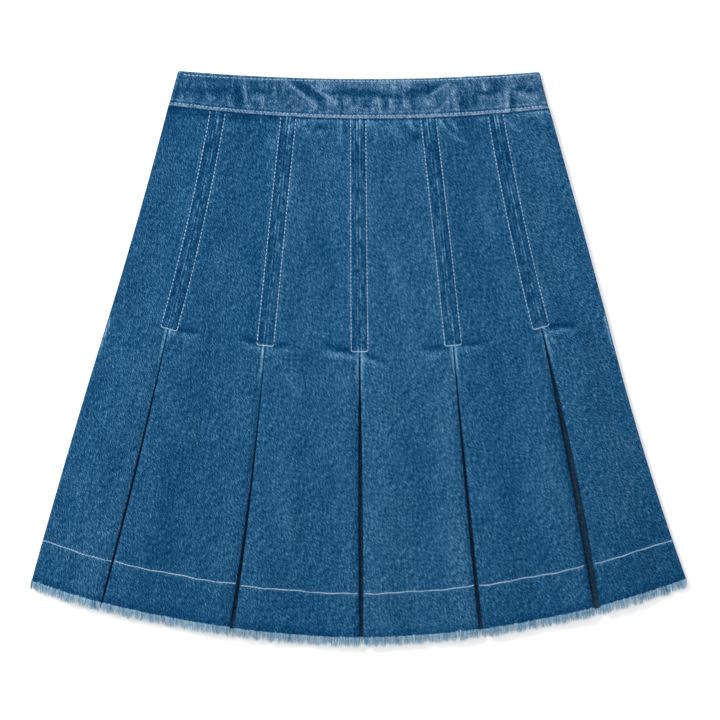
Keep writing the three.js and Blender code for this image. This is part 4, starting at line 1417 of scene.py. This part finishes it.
def weave_wear(tree):
    """Streaks along the warp, flecks along the twill, a few across it, fine grain and slow clouds."""
    warp_streaks = uneven_cloth(tree, 0.9, 7.5, 3, 1, detail=2.0)
    flecks = uneven_cloth(tree, 0.9, 3.6, 37, 2)
    cross_flecks = uneven_cloth(tree, 1.0, 2.0, -38, 3)
    grain = uneven_cloth(tree, 0.75, 0.8, 0, 4)
    blotches = uneven_cloth(tree, 7.0, 15.0, 8, 5)
    return (0.62 * warp_streaks + 1.45 * flecks + 0.40 * cross_flecks + 1.30 * grain + 0.15 * blotches
            + 0.5 * twill(tree))


print("the wash runs from", WASH[0][1], "to", WASH[-1][1])

# %% [markdown]
# ### Wear in the sewn lanes and under the band
#
# Over the seam allowances the cloth is three layers thick and rubs first, on two ridges that run beside
# each seam, while the hollows between them stay dark. A third light line right on the seam is painted light
# that offsets the shade of its groove. Just under the band the thread pulls the cloth into puckers, and the
# band's edge shades it, which is painted shade. Each of the two gets a function of its own, so it can be
# tuned by itself.

# %% Lanes and waist
# the ridges at 1.45 and 3.7 mm are wear; the line at 0.2 mm is painted light that offsets the groove's shade
LANE_RIDGES_AND_SEAM_LIGHT = [(3.2, 1.45, 0.45), (1.2, 3.7, 0.5), (2.0, 0.2, 0.6)]     # how light, mm from the seam, width


def lane_wear(tree, from_seam, below_waist, sewn, lane):
    """Rubbed ridges at two distances from the seam and painted light on the seam, broken up along their
    length, on a ground a little darker.
    """
    broken = uneven_cloth(tree, 1.2, 15.0, 0, 7)
    blotched = 0.75 * uneven_cloth(tree, 3.0, 9.0, 0, 12)
    ridges = sum(light * from_seam.bell(middle, wide) for light, middle, wide in LANE_RIDGES_AND_SEAM_LIGHT)
    streaky = 0.8 + 0.5 * broken + 0.5 * below_waist.rise(34.0, 16.0)
    lanes = lane * (ridges * streaky + blotched - 0.8 * below_waist.bell(36.0, 20.0) - 1.15)
    return lanes + 0.6 * sewn * from_seam.bell(8.9, 1.3)


def waist_wear(tree, below_waist, lane):
    """Leaning puckers in the first 16 mm and the light that UNDER_BAND gives, less shade in three widths."""
    puckered = below_waist.rise(16.0, 3.0) * (0.9 * lane + 0.6 * uneven_cloth(tree, 1.8, 11.0, 24, 8))
    shaded = (1.3 * below_waist.rise(2.2, 1.0) + 0.75 * below_waist.rise(11.0, 4.0)
              + 0.3 * below_waist.rise(45.0, 20.0))
    return puckered + 1.6 * stored(tree, "under_band") - shaded


print("ridges of a lane, in mm from its seam:", sorted(middle for light, middle, wide in LANE_RIDGES_AND_SEAM_LIGHT))

# %% [markdown]
# ### Wear at the folds, the hem and over a whole panel
#
# Below the release the folded edge is rubbed light near its top, and painted shade darkens it right at the
# fold and where it rolls under further down. The hem has one light line at its stitches and is darker where
# it frays. Slow streaks and a few scratches keep a wide panel from looking even, and the relief comes in once
# more: proud is light, pressed in is dark, partly as wear and partly as painted light and shade.

# %% Folds, hem and panel
def fold_wear(tree, from_fold, past):
    """Bells just inside the fold where it is rubbed, less painted shade: an S curve where it rolls under, and
    a band right at the fold.
    """
    rubbed = stored(tree, "edge_light") * (3.1 * from_fold.bell(2.1, 1.1) + 1.4 * from_fold.bell(1.2, 0.6))
    # painted shade where the edge rolls under, and in the last 0.9 mm at the fold
    rolled_shade = 1.5 * stored(tree, "rolled_edge_shade") * from_fold.rise(4.0, 0.5) * past.rise(36.0, 75.0)
    return rubbed - rolled_shade - 2.2 * from_fold.rise(0.9, 0.2) + 0.6 * from_fold.bell(1.4, 0.8)


def hem_wear(above_hem):
    """A light line where the stitches lift the cloth, dark in the last 12 mm, a little darker between."""
    line = 0.7 * above_hem.bell(HEM_ROW - 1.0, 2.2)
    return line - 1.3 * above_hem.rise(12.0, 1.0) - 0.1 * above_hem.rise(42.0, 40.0)


def panel_wear(tree, released):
    """The panel's own tone, slow streaks along it, and scratches below the release."""
    streaks = 0.26 * uneven_cloth(tree, 1.8, 20.0, 2, 13) + 0.20 * uneven_cloth(tree, 20.0, 42.0, 10, 14)
    scratches = 1.7 * uneven_cloth(tree, 0.8, 9.0, 40, 15).rise(1.2, 2.4) - 0.12
    return stored(tree, "panel_tone") + streaks + scratches * released


def gore_wear(tree):
    """The sum of weave, panel, lanes, waist, folds, hem, what is turned under and hidden, and the relief as
    wear and as painted light and shade.
    """
    past, below_waist = stored(tree, "past_release"), stored(tree, "below_waist")
    sewn, released = past.rise(0.5, -1.5), past.rise(-1.5, 1.0)
    from_seam = stored(tree, "from_seam")
    lane = from_seam.rise(7.4, 6.4) * sewn
    lanes = lane_wear(tree, from_seam, below_waist, sewn, lane)
    waist = waist_wear(tree, below_waist, lane)
    fold = released * fold_wear(tree, stored(tree, "from_fold"), past)
    hidden = -1.4 * stored(tree, "turned").rise(1.5, 4.0)
    # painted light and shade, partly wear: proud relief and creases lighter, pressed-in ones darker
    relief_wear_and_shade = 0.4 * stored(tree, "relief") + 6.4 * stored(tree, "creased").rise(-0.9, 0.9) - 3.2
    return (weave_wear(tree) + panel_wear(tree, released) + lanes + waist + fold
            + hem_wear(stored(tree, "above_hem")) + hidden + relief_wear_and_shade)


print("the hem's light line, in mm above the raw edge:", HEM_ROW - 1.0)

# %% [markdown]
# ### The denim of the gores
#
# The height of the weave is a bump of a few hundredths of a millimetre. It only has to catch the light a
# little, since the wash already shows the twill. Washed denim is dull, so there is hardly any shine.

# %% Washed denim
tree = finish["denim"].node_tree
wear = gore_wear(tree)
weave_height = (0.045 * twill(tree) + 0.035 * uneven_cloth(tree, 1.0, 3.4, 32, 2)
                + 0.03 * uneven_cloth(tree, 3.5, 3.5, 0, 9))
finish_with("denim", steps(wear, WASH, LIT), 0.86 + 0.01 * wear, weave_height, specular=0.03)

# %% [markdown]
# ## Waistband, inside and underlays
#
# The band is handled and rubbed more than any other place. It takes the same wash with far larger swings,
# in upright patches, its creases carry painted light and shade, and its edges are bleached. The wrong side
# shows the pale weft. The underlays were shut in their pleats while the skirt was washed, and keep the dark
# dye, darkened further by painted shade for the shade inside the slits. All are the same cloth, so they
# share the weave and differ in what is added to it and in the table of colours.

# %% The waistband's denim
tree = finish["denim_waistband"].node_tree
from_foot, from_top = stored(tree, "from_foot"), stored(tree, "from_top")
patches = uneven_cloth(tree, 5.0, 10.0, 6, 11, detail=2.0)
# painted light and shade, partly wear: the band's ridges lighter, its hollows darker
creases = 5.4 * (stored(tree, "creased") + 0.05 * patches).rise(-0.8, 0.8) - 2.7
top_edge = 0.8 * from_top.rise(4.8, 3.6) + 0.4 * from_top.bell(4.1, 0.7) + 2.4 * from_top.rise(1.1, 0.4)
foot_edge = 0.8 * from_foot.rise(3.7, 3.0) + 3.7 * from_foot.bell(0.9, 1.1) - 1.1 * from_foot.bell(4.3, 0.6)
foot_edge = foot_edge + 1.2 * from_foot.bell(5.7, 1.2)
wear = weave_wear(tree) + stored(tree, "handled") + 0.4 * patches + creases + top_edge + foot_edge
BAND_WASH = [(number, (red + 1 + 2.2 * max(number, 0), green - 2, blue - 4))     # greyer where it is worn
             for number, (red, green, blue) in WASH]
weave_height = 0.045 * twill(tree) + 0.05 * uneven_cloth(tree, 3.5, 3.5, 0, 9)
finish_with("denim_waistband", steps(wear, BAND_WASH, LIT), 0.86 + 0.01 * wear, weave_height, specular=0.03)

# %% [markdown]
# ### Denim that the wash didn't reach, darkened by painted shade, and its wrong side
#
# The raw denim of the underlays is dark and even, and painted shade darkens it further for the shade inside
# the slits; only their frayed foot is a little lighter. On the wrong side the weft lies on top and the ribs
# of the twill lean the other way.

# %% Other denims
# painted shade: these colours are darker than the raw dye alone, for the shade inside the slits
RAW_AND_SHADE = [(-3, (14, 28, 44)), (0, (30, 52, 74)), (3, (56, 88, 116))]
tree = finish["denim_unworn"].node_tree
above_hem = stored(tree, "above_hem")
wear = 0.6 * weave_wear(tree) + 1.5 * above_hem.rise(16.0, 2.0) + 2.6 * above_hem.rise(205.0, 262.0)
finish_with("denim_unworn", steps(wear, RAW_AND_SHADE, LIT), 0.9 + 0.01 * wear, 0.05 * twill(tree), specular=0.03)

WRONG_SIDE = [(-3, (58, 84, 110)), (0, (116, 141, 162)), (3, (168, 186, 199))]
tree = finish["denim_wrong_side"].node_tree
wear = 0.8 * weave_wear(tree) + 1.2 * twill(tree, lean=-TWILL_LEAN)
finish_with("denim_wrong_side", steps(wear, WRONG_SIDE, LIT), 0.9 + 0.01 * wear,
            0.05 * twill(tree, lean=-TWILL_LEAN), specular=0.03)

# %% [markdown]
# ## Thread, fray, zip and floor
#
# Topstitching thread is two yarns twisted together, so its height is a fine slanting wave. The loose warp
# threads keep some blue at the root and are nearly white at the tip; each hair has a tone of its own on
# its points. Bars and hairs are too small for a UV map, so these finishes read Object coordinates, which
# stay put because every piece sits at the origin, or a number stored on the mesh.

# %% Thread and fray
def placed(tree, size):
    """Object coordinates in units of size mm."""
    place = tree.nodes.new("ShaderNodeMapping")
    place.inputs["Scale"].default_value = (1 / (size * MM),) * 3
    tree.links.new(tree.nodes.new("ShaderNodeTexCoord").outputs["Object"], place.inputs["Vector"])
    return Field(place.outputs["Vector"])


def lumps_in_space(tree, size):
    """Noise of a size in mm in the object's own space, spread about 1."""
    lumps = tree.nodes.new("ShaderNodeTexNoise")
    feed(lumps.inputs["Vector"], placed(tree, size))
    lumps.inputs["Scale"].default_value, lumps.inputs["Detail"].default_value = 1.0, 1.0
    return (Field(lumps.outputs["Fac"]) - 0.5) * NOISE_SPREAD


def ribs_in_space(tree, pitch, direction):
    """A sine between -1 and 1 along X, Y, Z or the diagonal."""
    ribs = tree.nodes.new("ShaderNodeTexWave")
    ribs.bands_direction = direction
    feed(ribs.inputs["Vector"], placed(tree, pitch))
    ribs.inputs["Scale"].default_value = RIB_SCALE
    return Field(ribs.outputs["Fac"]) * 2 - 1


THREAD = [(-3, (106, 146, 180)), (0, (162, 197, 226)), (3, (204, 224, 240))]
tree = finish["topstitch_thread"].node_tree
faded = lumps_in_space(tree, 3.1) + 0.7 * lumps_in_space(tree, 23.0)
twist = ribs_in_space(tree, 0.55, "DIAGONAL")
finish_with("topstitch_thread", steps(faded + 0.5 * twist, THREAD, LIT), 0.7 + 0.03 * faded, 0.05 * twist,
            specular=0.06)

FRAY = [(0, (34, 92, 140)), (0.35, (88, 148, 192)), (0.65, (150, 200, 230)), (1, (216, 238, 250))]
tree = finish["frayed_threads"].node_tree
faded = stored(tree, "tone") + 0.45 * stored(tree, "reach") - 0.12 + 0.05 * lumps_in_space(tree, 1.2)
finish_with("frayed_threads", steps(faded, FRAY, LIT), 0.85 + 0.05 * faded, 0.02 * lumps_in_space(tree, 0.3),
            specular=0.04)

# %% [markdown]
# ### Zip and floor
#
# The tapes are a close plain weave, which two crossed waves give. The slider is cast metal, a little
# scuffed. The photograph is cut out on white, so the floor is white paper that glows a little, as a light
# table does, and only the faintest shadow is left.

# %% Zip and floor finishes
TAPE = [(-3, (16, 30, 48)), (0, (30, 48, 70)), (3, (52, 74, 98))]
tree = finish["zip_tape"].node_tree
weave = ribs_in_space(tree, 0.5, "X") * ribs_in_space(tree, 0.4, "Y")
finish_with("zip_tape", steps(weave + 0.6 * lumps_in_space(tree, 4.0), TAPE), 0.8 + 0.03 * weave,
            0.05 * weave, sheen=0.1)

METAL = [(-3, (120, 112, 98)), (0, (176, 168, 152)), (3, (214, 208, 196))]
tree = finish["zip_metal"].node_tree
scuffs = lumps_in_space(tree, 1.5) + 0.6 * lumps_in_space(tree, 0.4)
finish_with("zip_metal", steps(scuffs, METAL), 0.34 + 0.04 * scuffs, 0.01 * scuffs,
            metallic=1.0, specular=0.5)

FLOOR = [(-3, (246, 246, 247)), (0, (250, 250, 250)), (3, (252, 252, 252))]
WHITE = (1.0, 1.0, 1.0, 1.0)
FLOOR_GLOW = 0.34
tree = finish["studio_floor"].node_tree
paper = lumps_in_space(tree, 90.0)
finish_with("studio_floor", steps(paper, FLOOR), 0.9 + 0.005 * paper, 0.004 * lumps_in_space(tree, 1.5))
tree.nodes["Principled BSDF"].inputs["Emission Color"].default_value = WHITE
tree.nodes["Principled BSDF"].inputs["Emission Strength"].default_value = FLOOR_GLOW

# %% [markdown]
# ## The zip
#
# A fitted waist needs a way in, and here it is a concealed zip in the centre back seam: two woven tapes,
# a coil of nylon on each and a slider. It lies inside, between back and front. The tapes become thin
# woven strips with the coils along their near edges. A coil is one bent wire, a helix pressed flat, and
# the hairs' function sweeps it as a chain of short tubes. The slider keeps its solid and only gets its
# metal.

# %% Tapes and coils
ZIP = dict(length=150.0, tape_wide=9.0, below_top=2.5, coil_pitch=1.5, coil_wire=0.34)
ZIP_TOP = float(parabola(BAND_TOP, 0.0)) - ZIP["below_top"]
TAPE_Z = SOLID_BAND + PARTING   # height of the face that the tapes lie on
TAPE_FROM, TAPE_THICK, TAPE_UP = 1.2, 0.5, 0.35     # mm from the centre, its thickness, its middle's height
COIL = dict(middle=1.35, half_wide=0.95, half_high=0.2, up=0.62, below_zip_top=12.5, per_turn=8, fewer=8)


def tape(sign, name):
    """A woven strip beside the centre, a little thinner than its solid."""
    far = PARTING / 2 + ZIP["tape_wide"]
    x = sign * np.linspace(TAPE_FROM, far, 12)[None, :]
    y = np.linspace(ZIP_TOP, ZIP_TOP - ZIP["length"], 60)[:, None] + 0 * x
    z = TAPE_Z + TAPE_UP + 0.04 * np.sin(0.4 * y)
    piece = shell(name, x + 0 * y, y, z, 0.0, 1.0, TAPE_THICK)
    lay_out(piece, x + 0 * y, y)
    go_along(piece, "zip_tape", finish["zip_tape"], finish["zip_tape"])
    return piece


def coil(sign, name):
    """A flat helix: x swings by half a coil's width, z by its height, once per pitch along y."""
    turns = int(ZIP["length"] / ZIP["coil_pitch"]) - COIL["fewer"]
    turn = np.arange(turns * COIL["per_turn"] + 1) / COIL["per_turn"]
    angle = 2 * np.pi * turn
    path = np.stack([
        sign * (COIL["middle"] - COIL["half_wide"] * np.cos(angle)),
        ZIP_TOP - COIL["below_zip_top"] - ZIP["coil_pitch"] * turn,
        TAPE_Z + COIL["up"] + COIL["half_high"] * np.sin(angle),
    ], axis=-1)
    along = np.diff(path, axis=0)
    size = np.linalg.norm(along, axis=1)
    wire = np.full(len(size), ZIP["coil_wire"] / 2)
    points, triangles = hairs(path[:-1], unit(along), 1.15 * size, 0 * along, wire)
    piece = put_mesh(name, points, triangles.ravel(), 3)
    go_along(piece, "zip_tape", finish["zip_tape"])
    return piece


for sign, hand in ((-1, "left"), (1, "right")):
    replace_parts(tape(sign, f"zip_tape_{hand}_cloth"), f"zip_tape_{hand}")
    coil(sign, f"zip_coil_{hand}")
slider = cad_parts["zip_slider"]
for place in slider.material_slots:
    place.material = finish["zip_metal"]
print("zip slider's material:", slider.material_slots[0].material.name)

# %% [markdown]
# ## The studio
#
# The photograph is taken from straight above with a long lens, on white, in soft light from the upper
# left. The camera hangs three metres over the skirt. Its lens isn't guessed but worked out from the width
# that the picture takes in.

# %% Camera
PICTURE = 720                   # pixels, both ways
PIXEL = 0.9                     # mm of skirt to a pixel
PICTURE_MIDDLE = (1.08, -0.45)  # mm, the point under the picture's middle
CAMERA_HEIGHT = 3000.0
SCALE_HEIGHT = 6.0              # the height at which the scale holds

camera = bpy.data.objects.new("camera", bpy.data.cameras.new("camera"))
camera.location = (PICTURE_MIDDLE[0] * MM, PICTURE_MIDDLE[1] * MM, CAMERA_HEIGHT * MM)
camera.data.lens = camera.data.sensor_width * (CAMERA_HEIGHT - SCALE_HEIGHT) / (PICTURE * PIXEL)
bpy.context.scene.collection.objects.link(camera)
bpy.context.scene.camera = camera
print("lens in mm:", round(camera.data.lens, 1))

# %% [markdown] ### Lights and floor  One square soft light from the upper left draws the relief, a weak
# one from the right opens its shadows, and an even white sky does the rest.

# %% Lights and floor
FLOOR_HALF = 6000.0             # mm, half of the floor's width
SKY_STRENGTH = 0.52


def area_light(name, place, size, watts):
    """A square soft light in metres that faces the middle of the skirt."""
    light = bpy.data.objects.new(name, bpy.data.lights.new(name, "AREA"))
    light.data.size, light.data.energy = size, watts
    light.location = place
    x, y, z = place
    light.rotation_euler = (0.0, np.arctan2(np.hypot(x, y), z), np.arctan2(y, x))
    bpy.context.scene.collection.objects.link(light)


area_light("key_upper_left", place=(-1.5, 1.3, 1.7), size=0.9, watts=54.0)
area_light("fill_right", place=(1.6, -0.7, 2.2), size=1.6, watts=8.0)
world = bpy.data.worlds.new("studio")
world.use_nodes = True
world.node_tree.nodes["Background"].inputs["Color"].default_value = WHITE
world.node_tree.nodes["Background"].inputs["Strength"].default_value = SKY_STRENGTH
bpy.context.scene.world = world
bpy.context.scene.view_settings.view_transform = "Standard"

floor_corners = np.array([[-1, -1, 0], [1, -1, 0], [1, 1, 0], [-1, 1, 0]]) * FLOOR_HALF
floor = put_mesh("floor", floor_corners, np.arange(4), 4)
floor.data.materials.append(finish["studio_floor"])

# %% [markdown]
# ## The end
#
